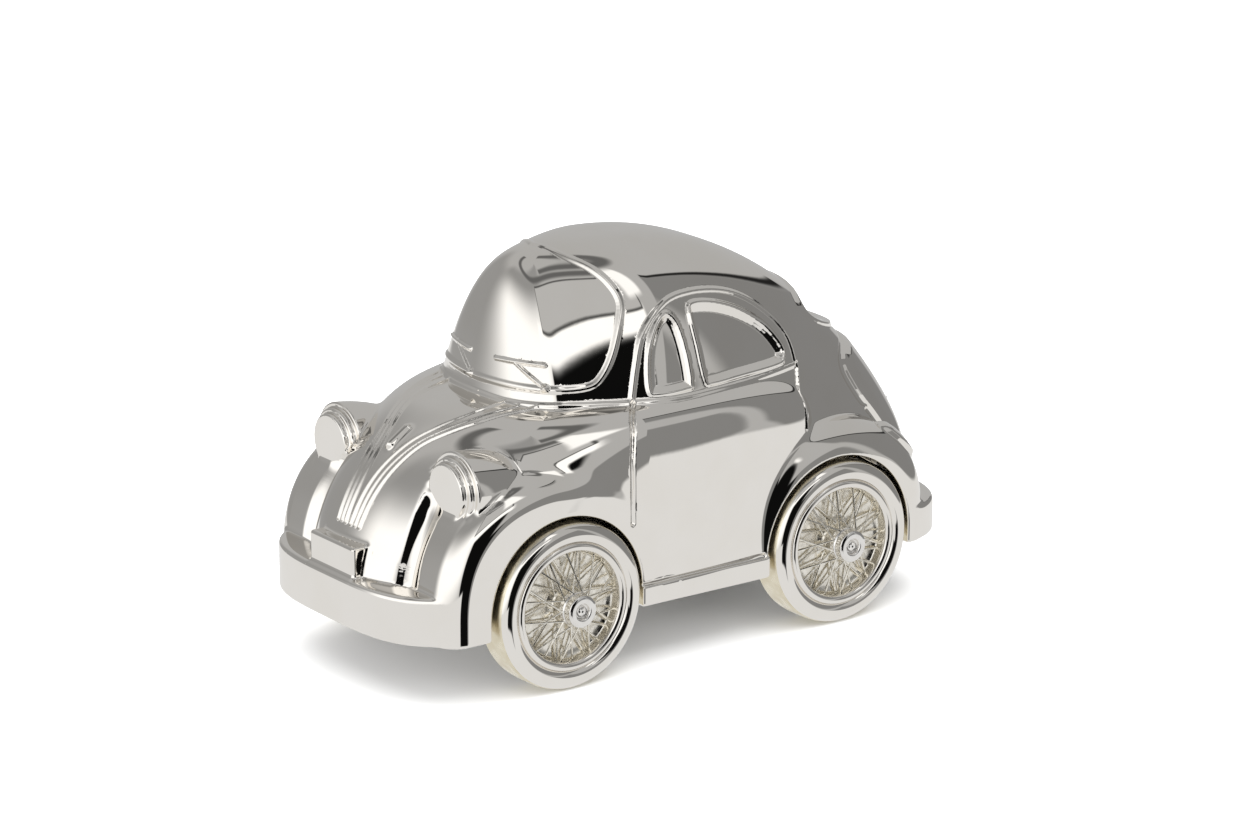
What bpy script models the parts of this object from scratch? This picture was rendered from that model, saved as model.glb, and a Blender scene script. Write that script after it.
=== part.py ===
"""Pull-back toy saloon car: cast body on a base plate, four wheels on two axles, wind-up motor.

Run with: blender --background --python part.py

Lengths in this file are millimetres and become metres when an object is made.
Axes: +Z up, -Y forwards, +X to the car's left. Heights are above the ground.
Distances along Y are from the middle of the wheelbase. The empty "car" moves the whole model
so that the origin lies under the middle of the car's length.
"""
from math import acos, atan2, cos, pi, radians, sin, sqrt, tan

import bmesh
import bpy
import numpy as np
from mathutils import Matrix, Vector

# ---- Driving dimensions -----------------------------------------------------------------
MM = 0.001
WHEELBASE = 72.0
WHEEL_RADIUS = 18.25
ROOF_TOP = 87.15
BODY_BOTTOM = 13.95
NOSE_LENGTH = 38.3          # from the front axle to the front of the bumper
TAIL_LENGTH = 35.4          # from the rear axle to the back of the bumper
FRONT_HALF_WIDTH = 33.7
REAR_HALF_WIDTH = 34.8
BUMPER_TOP = 24.4
REAR_BUMPER_TOP = 22.2
FRONT_PLAN_POWER = 3.6      # squareness of each bumper seen from above
REAR_PLAN_POWER = 4.1
SILL_X = 33.8
SILL_TOP = 18.9
WALL = 2.4                  # thickness of the cast body
SPINE_HALF_LENGTH = 34.3    # of the line that the body's sections turn about
GAP = 0.3                   # left between pieces that touch
RUNNING_GAP = 0.06          # round a shaft that turns

FRONT_Y = -WHEELBASE / 2
REAR_Y = WHEELBASE / 2
MIDDLE_SHIFT = (NOSE_LENGTH - TAIL_LENGTH) / 2

# Cabin: one dome from the windscreen to the tail
PEAK_Y = -7.5
SCREEN_LENGTH = 27.05
SCREEN_HALF_WIDTH = 30.9
DOOR_HALF_WIDTH = 33.3
CABIN_BASE = 20.0
CABIN_TAIL_LENGTH = 83.9
TAIL_END_Y = 69.0

# Hood, shoulders and doors
HOOD_TOP = 56.9
HOOD_BASE = 14.0
HOOD_HALF_WIDTH = 33.4
HOOD_FRONT_Y = -30.0
HOOD_LENGTH = 42.0

# Wings: reach ahead and behind, top, middle and half width, edge radius
WING_POWER = 2.4
FRONT_WING = (30.4, 24.6, 28.6, 23.2, 10.0, 5.6)
REAR_WING = (23.6, 26.8, 25.6, 24.5, 9.5, 7.5)

# Headlamp pods and the blank plate on the nose
POD_PLACE = (21.8, -59.4, 44.0)
POD_RADIUS = 8.0
POD_FRONT = 1.4
POD_BACK = 20.0
BLANK_PLATE = ((-8.0, -73.0, 22.3), (8.0, -62.0, 30.9))
SPINE_Z = 30.0

# Wheels
TYRE_MIDDLE_X = 30.5
TYRE_HALF_WIDTH = 4.9
TYRE_INNER_RADIUS = 12.4
RIM_FACE_X = 35.4
DISH_X = 32.6
HUB_FACE_X = 38.7
HUB_RADIUS = 3.5
WELL_RADIUS = 19.2
WELL_INNER_X = 23.5
WHEEL_STEPS = 32

# Axles
AXLE_RADIUS = 1.25
AXLE_END_X = 36.0

# Base plate
PLATE_BOTTOM = 14.2
PLATE_TOP = 15.8
PLATE_MARGIN = 1.8          # between the plate's edge and the body wall
PLATE_WAIST = 24.4          # half width between the wheels
PLATE_NOTCH = 21.4          # half length of the notch for each wheel
SCREW_PLACES = ((13.0, -58.0), (13.0, 57.0))
SCREW_HEAD_RADIUS = 2.6
SCREW_SHANK_RADIUS = 1.2
POST_RADIUS = 3.6

# Wind-up motor: gear teeth and the places of its shafts
MODULE = 0.5
PINION_TEETH = 10
IDLER_TEETH = 30
BARREL_TEETH = 40
BACKLASH = 0.14
IDLER_DISTANCE = MODULE * (PINION_TEETH + IDLER_TEETH) / 2
BARREL_DISTANCE = MODULE * (PINION_TEETH + BARREL_TEETH) / 2
IDLER_Z = 26.8
BARREL_Z = 28.6
IDLER_Y = REAR_Y - sqrt(IDLER_DISTANCE ** 2 - (IDLER_Z - WHEEL_RADIUS) ** 2)
BARREL_Y = IDLER_Y - sqrt(BARREL_DISTANCE ** 2 - (BARREL_Z - IDLER_Z) ** 2)
CASE_HALF_WIDTH = 9.0
CASE_WALL = 1.4
STAGE_ONE = (-6.2, -4.0)    # from x to x: axle pinion and idler wheel
STAGE_TWO = (-3.6, -1.6)    # idler pinion and barrel gear
DRUM = (-1.3, 6.6)
DRUM_RADIUS = 8.6


# ---- Helpers ----------------------------------------------------------------------------
def clear_scene():
    for obj in list(bpy.data.objects):
        bpy.data.objects.remove(obj)


def new_collection(name):
    collection = bpy.data.collections.new(name)
    bpy.context.scene.collection.children.link(collection)
    return collection


def new_material(name, colour, metallic, roughness):
    material = bpy.data.materials.new(name)
    material.use_nodes = True
    shader = material.node_tree.nodes["Principled BSDF"]
    shader.inputs["Base Color"].default_value = (*colour, 1.0)
    shader.inputs["Metallic"].default_value = metallic
    shader.inputs["Roughness"].default_value = roughness
    return material


def new_empty(name, y, z, parent=None):
    empty = bpy.data.objects.new(name, None)
    empty.location = (0.0, y * MM, z * MM)
    empty.empty_display_size = 0.01
    empty.parent = parent
    parts.objects.link(empty)
    return empty


def place(obj, parent, material, location=(0.0, 0.0, 0.0), rotation=(0.0, 0.0, 0.0)):
    """Link an object under its parent at a place in millimetres from that parent."""
    parts.objects.link(obj)
    obj.parent = parent
    obj.location = Vector(location) * MM
    obj.rotation_euler = rotation
    if not obj.data.materials:
        obj.data.materials.append(material)
    return obj


def mesh_object(name, bm):
    """Object from a bmesh in millimetres."""
    bmesh.ops.scale(bm, vec=(MM, MM, MM), verts=bm.verts)
    mesh = bpy.data.meshes.new(name)
    bm.to_mesh(mesh)
    bm.free()
    return bpy.data.objects.new(name, mesh)


def cylinder_object(name, radius, low, high, steps):
    """Solid cylinder along its own Z, from low to high."""
    bm = bmesh.new()
    bmesh.ops.create_cone(bm, cap_ends=True, segments=steps, radius1=radius, radius2=radius,
                          depth=high - low, matrix=Matrix.Translation((0, 0, (low + high) / 2)))
    return mesh_object(name, bm)


def box_object(name, low, high):
    low, high = Vector(low), Vector(high)
    size = high - low
    bm = bmesh.new()
    matrix = Matrix.Translation((low + high) / 2) @ Matrix.Diagonal((*size, 1.0))
    bmesh.ops.create_cube(bm, size=1.0, matrix=matrix)
    return mesh_object(name, bm)


def turned_object(name, profile, steps):
    """Turned solid about its own Z; the profile (radius, z) runs down its outer side."""
    mesh = bpy.data.meshes.new(name)
    ring = profile[0][0] > 0.0
    count = len(profile)
    edges = [(i, i + 1) for i in range(count - 1)]
    if ring:
        edges.append((count - 1, 0))
    mesh.from_pydata([(r * MM, 0.0, z * MM) for r, z in profile], edges, [])
    obj = bpy.data.objects.new(name, mesh)
    screw = obj.modifiers.new("Turn", "SCREW")
    screw.axis = "Z"
    screw.steps = steps
    screw.render_steps = steps
    screw.use_merge_vertices = True
    screw.merge_threshold = 0.00001
    screw.use_smooth_shade = True
    return obj


def outline_object(name, loops, thickness):
    """Flat plate of the given loops (outer first, then holes), centred on its own Z."""
    curve = bpy.data.curves.new(name, "CURVE")
    curve.dimensions = "2D"
    curve.fill_mode = "BOTH"
    curve.extrude = thickness * MM / 2
    for loop in loops:
        spline = curve.splines.new("POLY")
        spline.points.add(len(loop) - 1)
        spline.use_cyclic_u = True
        for point, (x, y) in zip(spline.points, loop):
            point.co = (x * MM, y * MM, 0.0, 1.0)
    return bpy.data.objects.new(name, curve)


def as_mesh(obj):
    """Replace a curve object by a welded mesh object of the same shape and place."""
    bpy.context.view_layer.update()
    evaluated = obj.evaluated_get(bpy.context.evaluated_depsgraph_get())
    mesh = bpy.data.meshes.new_from_object(evaluated)
    bm = bmesh.new()
    bm.from_mesh(mesh)
    bmesh.ops.remove_doubles(bm, verts=bm.verts, dist=0.000001)
    bm.to_mesh(mesh)
    bm.free()
    solid = bpy.data.objects.new(obj.name, mesh)
    name, parent, matrix = obj.name, obj.parent, obj.matrix_world.copy()
    bpy.data.objects.remove(obj)
    solid.name = name
    parts.objects.link(solid)
    solid.parent = parent
    bpy.context.view_layer.update()
    solid.matrix_world = matrix
    return solid


def cut(obj, cutter, parent=None, location=(0.0, 0.0, 0.0), rotation=(0.0, 0.0, 0.0),
        operation="DIFFERENCE", solver="EXACT"):
    """Take a cutter away from an object, or join it on."""
    cutters.objects.link(cutter)
    cutter.parent = parent or car
    cutter.location = Vector(location) * MM
    cutter.rotation_euler = rotation
    cutter.display_type = "WIRE"
    cutter.hide_render = True
    boolean = obj.modifiers.new(cutter.name, "BOOLEAN")
    boolean.operation = operation
    boolean.solver = solver
    boolean.object = cutter
    return boolean


def circle(radius, steps, centre=(0.0, 0.0)):
    return [(centre[0] + radius * cos(2 * pi * i / steps),
             centre[1] + radius * sin(2 * pi * i / steps)) for i in range(steps)]


def hole_radius(radius, steps):
    """Corner radius of a polygon whose flats lie at the given radius."""
    return radius / cos(pi / steps)


# ---- Body form --------------------------------------------------------------------------
# The casting is one flowing form, so it is described by functions that are negative inside
# it and about equal to the distance from its surface. A loft of rays from a spine along the
# car finds the sections.
def smooth_step(low, high, value):
    t = np.clip((value - low) / (high - low), 0.0, 1.0)
    return t * t * (3.0 - 2.0 * t)


def smooth_min(a, b, radius):
    h = np.maximum(radius - np.abs(a - b), 0.0) / radius
    return np.minimum(a, b) - h ** 3 * radius / 6.0


def smooth_max(a, b, radius):
    return -smooth_min(-a, -b, radius)


def distance_to(shape, x, y, z):
    """Approximate distance to the surface shape = 0."""
    step = 0.05
    value = shape(x, y, z)
    slope_x = (shape(x + step, y, z) - value) / step
    slope_y = (shape(x, y + step, z) - value) / step
    slope_z = (shape(x, y, z + step) - value) / step
    return value / np.maximum(np.sqrt(slope_x ** 2 + slope_y ** 2 + slope_z ** 2), 1e-4)


def cabin(x, y, z):
    """Windscreen dome, roof and tail; squarer towards the doors."""
    side = smooth_step(-27.0, -4.0, y)
    flare = DOOR_HALF_WIDTH + 0.039 * (z - CABIN_BASE)
    width = SCREEN_HALF_WIDTH * (1.0 - side) + flare * side
    ahead = np.maximum(PEAK_Y - y, 0.0) / SCREEN_LENGTH
    behind = np.maximum(y - PEAK_Y, 0.0) / CABIN_TAIL_LENGTH
    height = np.maximum(z - CABIN_BASE, 0.0) / (ROOF_TOP - CABIN_BASE)
    front = 0.058 * ahead ** 3 + 0.312 * ahead ** 8
    return (x / width) ** (2.0 + side) + front + behind ** 2.155 + height ** 1.27 - 1.0


def hood(x, y, z):
    """Hood, shoulders and doors: round at the nose and square at the doors."""
    power = 2.275 + 7.7 * np.clip((y + 62.0) / 47.0, 0.0, 1.0) ** 2.2
    spread = smooth_step(-45.0, -10.0, y)
    width = HOOD_HALF_WIDTH + (DOOR_HALF_WIDTH - HOOD_HALF_WIDTH) * spread
    ahead = np.maximum(HOOD_FRONT_Y - y, 0.0) / HOOD_LENGTH
    behind = np.maximum(y + 10.0, 0.0) / 45.0
    height = np.maximum(z - HOOD_BASE, 0.0) / (HOOD_TOP - HOOD_BASE)
    return (x / width) ** power + ahead ** 2.3 + behind ** 4 + height ** power - 1.0


def wing(x, y, z, axle_y, spec):
    """Rounded slab over a wheel."""
    ahead, behind, top, middle, half_width, edge = spec
    along = np.abs(y - axle_y)
    up = np.maximum(z - WHEEL_RADIUS, 0.0)
    reach = np.where(y < axle_y, ahead, behind)
    scaled = ((along / reach) ** WING_POWER + (up / top) ** WING_POWER) ** (1.0 / WING_POWER)
    scaled = np.maximum(scaled, 1e-3)
    outward = (1.0 - 1.0 / scaled) * np.sqrt(along ** 2 + up ** 2) + edge
    outward = np.where(scaled < 2e-3, edge - top, outward)
    sideways = np.abs(x - middle) - half_width + edge
    corner = np.sqrt(np.maximum(outward, 0.0) ** 2 + np.maximum(sideways, 0.0) ** 2)
    return corner + np.minimum(np.maximum(outward, sideways), 0.0) - edge


def main_form(x, y, z):
    """Body without bumpers and sills; its sides run straight down to far below the floor."""
    x = np.abs(x)
    tail = smooth_max(distance_to(cabin, x, y, z), y - TAIL_END_Y, 6.0)
    d = smooth_min(tail, distance_to(hood, x, y, z), 2.0)
    d = smooth_min(d, wing(x, y, z, FRONT_Y, FRONT_WING), 2.0)
    d = smooth_min(d, wing(x, y, z, REAR_Y, REAR_WING), 2.0)
    return np.maximum(d, -25.0 - z)


def hollow_form(x, y, z):
    return main_form(x, y, z) + WALL


def ray_lengths(field, origins, directions):
    """Distance along each ray to where it leaves the solid for the last time."""
    far = 80.0
    tries = np.linspace(0.5, far, 90)
    points = origins[:, None] + directions[:, None] * tries[None, :, None]
    inside = field(points[..., 0], points[..., 1], points[..., 2]) < 0.0
    last = inside.shape[1] - 1 - np.argmax(inside[:, ::-1], axis=1)
    low = tries[last]
    high = tries[np.minimum(last + 1, len(tries) - 1)]
    for _ in range(20):
        middle = (low + high) / 2
        p = origins + directions * middle[:, None]
        inner = field(p[:, 0], p[:, 1], p[:, 2]) < 0.0
        low = np.where(inner, middle, low)
        high = np.where(inner, high, middle)
    return (low + high) / 2


def loft_object(name, field, spine_z, stations, cap_rings, around):
    """Closed loft: sections along a straight spine, and a fan of them at each end."""
    end = SPINE_HALF_LENGTH
    turn = np.arange(around) * 2 * pi / around
    rings = [(-end, -pi / 2 + pi / 2 * i / cap_rings) for i in range(1, cap_rings + 1)]
    rings += [(-end + 2 * end * i / stations, 0.0) for i in range(1, stations)]
    rings += [(end, pi / 2 * i / cap_rings) for i in range(cap_rings)]
    origins, directions = [], []
    for y, tilt in rings:
        for a in turn:
            origins.append((0.0, y, spine_z))
            directions.append((sin(a) * cos(tilt), sin(tilt), cos(a) * cos(tilt)))
    for sense in (-1.0, 1.0):
        origins.append((0.0, sense * end, spine_z))
        directions.append((0.0, sense, 0.0))
    origins = np.array(origins)
    directions = np.array(directions)
    points = origins + directions * ray_lengths(field, origins, directions)[:, None]

    bm = bmesh.new()
    verts = [bm.verts.new(p) for p in points]
    front_pole, rear_pole = verts[-2], verts[-1]
    for i in range(len(rings) - 1):
        for j in range(around):
            k = (j + 1) % around
            a, b = i * around, (i + 1) * around
            bm.faces.new((verts[a + j], verts[a + k], verts[b + k], verts[b + j]))
    last = (len(rings) - 1) * around
    for j in range(around):
        k = (j + 1) % around
        bm.faces.new((front_pole, verts[k], verts[j]))
        bm.faces.new((rear_pole, verts[last + j], verts[last + k]))
    bmesh.ops.recalc_face_normals(bm, faces=bm.faces)
    return mesh_object(name, bm)


def pod_object(name):
    """Headlamp pod: a ball drawn out backwards, nearly flat in front."""
    bm = bmesh.new()
    bmesh.ops.create_uvsphere(bm, u_segments=16, v_segments=12, radius=1.0)
    bmesh.ops.rotate(bm, verts=bm.verts, cent=(0, 0, 0), matrix=Matrix.Rotation(pi / 2, 3, "X"))
    for v in bm.verts:
        v.co.x *= POD_RADIUS
        v.co.z *= POD_RADIUS
        v.co.y *= POD_BACK if v.co.y > 0.0 else POD_FRONT
    bmesh.ops.rotate(bm, verts=bm.verts, cent=(0, 0, 0),
                     matrix=Matrix.Rotation(radians(-5.0), 3, "X"))
    return mesh_object(name, bm)


def post_top(x, y):
    """Height at which a screw post ends inside the wall above it."""
    rim = np.array([(px, py, 24.0) for px, py in circle(POST_RADIUS, 12, (x, y))])
    up = np.tile((0.0, 0.0, 1.0), (len(rim), 1))
    return 24.0 + ray_lengths(main_form, rim, up).min() - 0.8


def end_plan(inset, steps=9):
    """Half outlines of the bumpers in plan: front and rear, each from left to right."""
    ends = ((FRONT_HALF_WIDTH, FRONT_Y, NOSE_LENGTH, -1.0, 2.0 / FRONT_PLAN_POWER),
            (REAR_HALF_WIDTH, REAR_Y, TAIL_LENGTH, 1.0, 2.0 / REAR_PLAN_POWER))
    plans = []
    for half_width, centre_y, length, turn, squaring in ends:
        points = []
        for i in range(2 * steps + 1):
            a = pi * i / (2 * steps)
            across = turn * cos(a)
            x = (half_width - inset) * abs(across) ** squaring * (1.0 if across > 0 else -1.0)
            points.append((x, centre_y + turn * (length - inset) * sin(a) ** squaring))
        plans.append(points)
    return plans


def bumper_slab(name, plan, beyond, low, high):
    """Solid inside one end's plan, as far as a line that lies beyond the axle."""
    axle_y = REAR_Y if beyond > 0 else FRONT_Y
    line = axle_y + beyond
    kept = [p for p in plan if (p[1] - line) * beyond > 0.5]
    outline = [(kept[0][0], line)] + kept + [(kept[-1][0], line)]
    slab = outline_object(name, [outline], high - low)
    slab = as_mesh(place(slab, None, chrome, (0.0, 0.0, (low + high) / 2)))
    parts.objects.unlink(slab)
    slab.data.transform(slab.matrix_world)
    slab.matrix_world = Matrix()
    return slab


def shape_body(body, cutter, location=(0.0, 0.0, 0.0), rotation=(0.0, 0.0, 0.0),
               operation="DIFFERENCE"):
    """Cut the casting; its many near-flat faces need the manifold solver."""
    cut(body, cutter, None, location, rotation, operation, "MANIFOLD")


def make_body():
    body = place(loft_object("body_shell", main_form, SPINE_Z, 18, 7, 36), car, chrome)
    front, rear = end_plan(0.0)
    shape_body(body, bumper_slab("front_bumper", front, -21.0, BODY_BOTTOM - 2.0, BUMPER_TOP),
               operation="UNION")
    shape_body(body, bumper_slab("rear_bumper", rear, 21.0, BODY_BOTTOM - 2.0, REAR_BUMPER_TOP),
               operation="UNION")
    shape_body(body, box_object("sill", (-SILL_X, -24.0, BODY_BOTTOM - 2.0),
                                (SILL_X, 24.0, SILL_TOP)), operation="UNION")
    shape_body(body, box_object("blank_plate", *BLANK_PLATE), operation="UNION")
    shape_body(body, loft_object("hollow", hollow_form, SPINE_Z, 10, 4, 20))
    front, rear = end_plan(WALL)
    shape_body(body, bumper_slab("front_space", front, -15.0, 0.0, BUMPER_TOP - WALL))
    shape_body(body, bumper_slab("rear_space", rear, 15.0, 0.0, REAR_BUMPER_TOP - WALL))
    shape_body(body, box_object("under", (-50.0, -90.0, -40.0), (50.0, 90.0, BODY_BOTTOM)))
    for side in (1, -1):
        pod_x, pod_y, pod_z = POD_PLACE
        shape_body(body, pod_object("pod_%d" % side), (side * pod_x, pod_y, pod_z),
                   operation="UNION")
        for x, y in SCREW_PLACES:
            tag = "%d_%d" % (side * x, y)
            post = cylinder_object("post_" + tag, POST_RADIUS, PLATE_TOP + GAP,
                                   post_top(x, y), 12)
            shape_body(body, post, (side * x, y, 0.0), operation="UNION")
            pilot = cylinder_object("pilot_" + tag, SCREW_SHANK_RADIUS + GAP,
                                    PLATE_TOP - 2.0, PLATE_TOP + 9.0, 12)
            shape_body(body, pilot, (side * x, y, 0.0))
        for y in (FRONT_Y, REAR_Y):
            well = cylinder_object("well_%d_%d" % (y, side), WELL_RADIUS, WELL_INNER_X, 45.0, 36)
            shape_body(body, well, (0.0, y, WHEEL_RADIUS), (0.0, side * pi / 2, 0.0))
    return body


# ---- Base plate and its screws ----------------------------------------------------------
def make_base_plate():
    middle = (PLATE_TOP + PLATE_BOTTOM) / 2
    front, rear = end_plan(WALL + PLATE_MARGIN)
    plate = outline_object("base_plate", [front + rear], PLATE_TOP - PLATE_BOTTOM)
    plate = as_mesh(place(plate, car, zinc, (0.0, 0.0, middle)))
    low, high = PLATE_BOTTOM - 1.0, PLATE_TOP + 1.0
    window = box_object("window", (-CASE_HALF_WIDTH - GAP, -24.0, low),
                        (CASE_HALF_WIDTH + GAP, 6.0, high))
    cut(plate, window, None, (0.0, REAR_Y, 0.0))
    for y in (FRONT_Y, REAR_Y):
        for side in (1, -1):
            box = box_object("notch_%d_%d" % (y, side), (-10.0, -PLATE_NOTCH, low),
                             (10.0, PLATE_NOTCH, high))
            cut(plate, box, None, (side * (PLATE_WAIST + 10.0), y, 0.0))
    for side in (1, -1):
        for x, y in SCREW_PLACES:
            tag = "%d_%d" % (side * x, y)
            sink = cylinder_object("sink_" + tag, SCREW_HEAD_RADIUS + GAP,
                                   PLATE_BOTTOM - 1.0, PLATE_BOTTOM + 1.0, 16)
            cut(plate, sink, None, (side * x, y, 0.0))
            hole = cylinder_object("hole_" + tag, SCREW_SHANK_RADIUS + GAP, low, high, 12)
            cut(plate, hole, None, (side * x, y, 0.0))
    return plate


def screw_profile(head_radius, shank_radius, length, head_height):
    """Countersunk-flat screw standing on its head: outer side from the top down."""
    return [(0.0, length), (shank_radius * 0.5, length), (shank_radius, length - 0.8),
            (shank_radius, head_height), (head_radius, head_height), (head_radius, 0.15),
            (head_radius - 0.15, 0.0), (0.9, 0.0), (0.7, 0.45), (0.0, 0.45)]


def make_screws():
    profile = screw_profile(SCREW_HEAD_RADIUS, SCREW_SHANK_RADIUS, 8.0, 0.65)
    for side, side_name in ((1, "left"), (-1, "right")):
        for (x, y), end in zip(SCREW_PLACES, ("front", "rear")):
            screw = turned_object("base_screw_%s_%s" % (end, side_name), profile, 12)
            place(screw, car, steel, (side * x, y, PLATE_BOTTOM + 0.05))


# ---- Axles, brackets and wheels ---------------------------------------------------------
ALONG_X = (0.0, pi / 2, 0.0)


def make_axle(name, pivot):
    profile = [(0.0, AXLE_END_X), (AXLE_RADIUS - 0.3, AXLE_END_X),
               (AXLE_RADIUS, AXLE_END_X - 0.3), (AXLE_RADIUS, 0.3 - AXLE_END_X),
               (AXLE_RADIUS - 0.3, -AXLE_END_X), (0.0, -AXLE_END_X)]
    place(turned_object(name, profile, 16), pivot, steel, rotation=ALONG_X)


def make_bracket(name, x, y, material):
    """Upright bearing block that stands on the base plate and holds the axle."""
    height = WHEEL_RADIUS - PLATE_TOP - GAP
    width = 3.2
    outline = [(-width, -height), (width, -height), (width, 0.0)]
    outline += [(width * cos(pi * i / 10), width * sin(pi * i / 10)) for i in range(1, 10)]
    outline += [(-width, 0.0)]
    bore = circle(hole_radius(AXLE_RADIUS + RUNNING_GAP, 20), 20)
    block = outline_object(name, [outline, bore], 2.4)
    place(block, car, material, (x, y, WHEEL_RADIUS), (pi / 2, 0.0, pi / 2))


def tyre_profile(points=10):
    """Closed section of the tyre, as (radius, sideways), down its outer side."""
    middle = (WHEEL_RADIUS + TYRE_INNER_RADIUS) / 2
    half = (WHEEL_RADIUS - TYRE_INNER_RADIUS) / 2
    section = []
    for i in range(points):
        a = pi / 2 - 2 * pi * i / points
        c, s = cos(a), sin(a)
        side = TYRE_HALF_WIDTH * (abs(s) ** 0.75) * (1 if s > 0 else -1)
        radius = middle + half * (abs(c) ** 0.75) * (1 if c > 0 else -1)
        section.append((radius, side))
    return section


def wheel_profile():
    """Wire wheel insert, from its outer face in: dish, rim edge, back."""
    back = TYRE_MIDDLE_X - TYRE_HALF_WIDTH + 0.6
    rim = TYRE_INNER_RADIUS - GAP
    bore = AXLE_RADIUS + GAP
    return [(bore, HUB_FACE_X - 3.4), (HUB_RADIUS - 0.4, HUB_FACE_X - 3.4), (rim - 1.8, DISH_X),
            (rim - 1.2, RIM_FACE_X - 0.4), (rim, RIM_FACE_X - 0.6), (rim, back + 3.0),
            (rim - 1.8, back + 3.0), (rim - 2.6, DISH_X - 2.2), (3.4, DISH_X - 2.2), (3.4, back),
            (bore, back)]


def hub_cap_profile():
    """Hub cap with a sunk middle, closed in front and open behind for the axle end."""
    back = HUB_FACE_X - 3.4 + GAP
    return [(0.0, HUB_FACE_X - 0.3), (1.2, HUB_FACE_X - 0.3), (1.7, HUB_FACE_X),
            (HUB_RADIUS - 0.5, HUB_FACE_X), (HUB_RADIUS, HUB_FACE_X - 0.5), (HUB_RADIUS, back),
            (AXLE_RADIUS + GAP, back), (AXLE_RADIUS + GAP, AXLE_END_X + GAP),
            (0.0, AXLE_END_X + GAP)]


def make_wheel(corner, pivot, side):
    turn = (0.0, side * pi / 2, 0.0)
    tyre = turned_object("tyre_" + corner, tyre_profile(), WHEEL_STEPS)
    place(tyre, pivot, chrome, (side * TYRE_MIDDLE_X, 0.0, 0.0), turn)
    wheel = turned_object("wire_wheel_" + corner, wheel_profile(), 20)
    place(wheel, pivot, satin, rotation=turn)
    cap = turned_object("hub_cap_" + corner, hub_cap_profile(), 12)
    place(cap, pivot, chrome, rotation=turn)


def make_running_gear():
    for end, y in (("front", FRONT_Y), ("rear", REAR_Y)):
        pivot = new_empty(end + "_axle_pivot", y, WHEEL_RADIUS, car)
        make_axle(end + "_axle", pivot)
        for side, side_name in ((1, "left"), (-1, "right")):
            make_wheel(end + "_" + side_name, pivot, side)
            make_bracket("%s_axle_bracket_%s" % (end, side_name), side * 17.0, y, brass)
        if end == "rear":
            make_gear("axle_pinion", PINION_TEETH, AXLE_RADIUS + 0.15, STAGE_ONE, pivot, 0.0)


# ---- Wind-up motor ----------------------------------------------------------------------
def gear_outline(teeth, phase):
    """Outline of a spur gear with involute flanks and a tooth centred on the phase angle."""
    pitch = MODULE * teeth / 2
    base = pitch * cos(radians(20.0))
    tip = pitch + MODULE * 0.95
    root = pitch - MODULE * 1.25
    half_at_pitch = (pi / teeth - BACKLASH / pitch) / 2

    def involute(radius):
        if radius <= base:
            return 0.0
        pressure = acos(base / radius)
        return tan(pressure) - pressure

    def half_angle(radius):
        return half_at_pitch + involute(pitch) - involute(radius)

    radii = [root, pitch, tip]
    points = []
    for i in range(teeth):
        centre = phase + 2 * pi * i / teeth
        for side, order in ((-1, radii), (1, reversed(radii))):
            for radius in order:
                a = centre + side * half_angle(radius)
                points.append((radius * cos(a), radius * sin(a)))
    return points


def make_gear(name, teeth, bore, span, pivot, phase):
    """Gear in the plane of Y and Z; phase is measured from +Y towards +Z."""
    hole = circle(bore, 16)
    thickness = span[1] - span[0]
    gear = outline_object(name, [gear_outline(teeth, phase), hole], thickness)
    place(gear, pivot, brass, ((span[0] + span[1]) / 2, 0.0, 0.0), (pi / 2, 0.0, pi / 2))


def mesh_phase(teeth, towards, driver_teeth, driver_phase):
    """Phase that puts a gear in mesh with its driver, which lies at the angle towards."""
    driver_pitch = 2 * pi / driver_teeth
    at_contact = towards + pi
    driver_offset = (at_contact - driver_phase) / driver_pitch % 1.0
    return towards + (driver_offset - 0.5) * 2 * pi / teeth


def spring_outline(turns, inner, outer, thickness, steps):
    """Flat spiral strip, as one closed outline."""
    total = int(turns * steps)
    out_side, in_side = [], []
    for i in range(total + 1):
        a = 2 * pi * i / steps
        r = inner + (outer - inner) * i / total
        out_side.append(((r + thickness / 2) * cos(a), (r + thickness / 2) * sin(a)))
        in_side.append(((r - thickness / 2) * cos(a), (r - thickness / 2) * sin(a)))
    return out_side + in_side[::-1]


def case_outline(margin):
    """Outline round the three shafts, from the hull of three circles."""
    circles = [(REAR_Y, WHEEL_RADIUS, 3.3), (IDLER_Y, IDLER_Z, 8.3), (BARREL_Y, BARREL_Z, 10.8)]
    points = []
    for y, z, r in circles:
        points += circle(r + margin, 20, (y, z))
    points.sort()

    def chain(sequence):
        hull = []
        for p in sequence:
            while len(hull) > 1:
                a, b = hull[-2], hull[-1]
                if (b[0] - a[0]) * (p[1] - a[1]) - (b[1] - a[1]) * (p[0] - a[0]) > 1e-6:
                    break
                hull.pop()
            hull.append(p)
        return hull[:-1]

    return chain(points) + chain(points[::-1])


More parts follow.
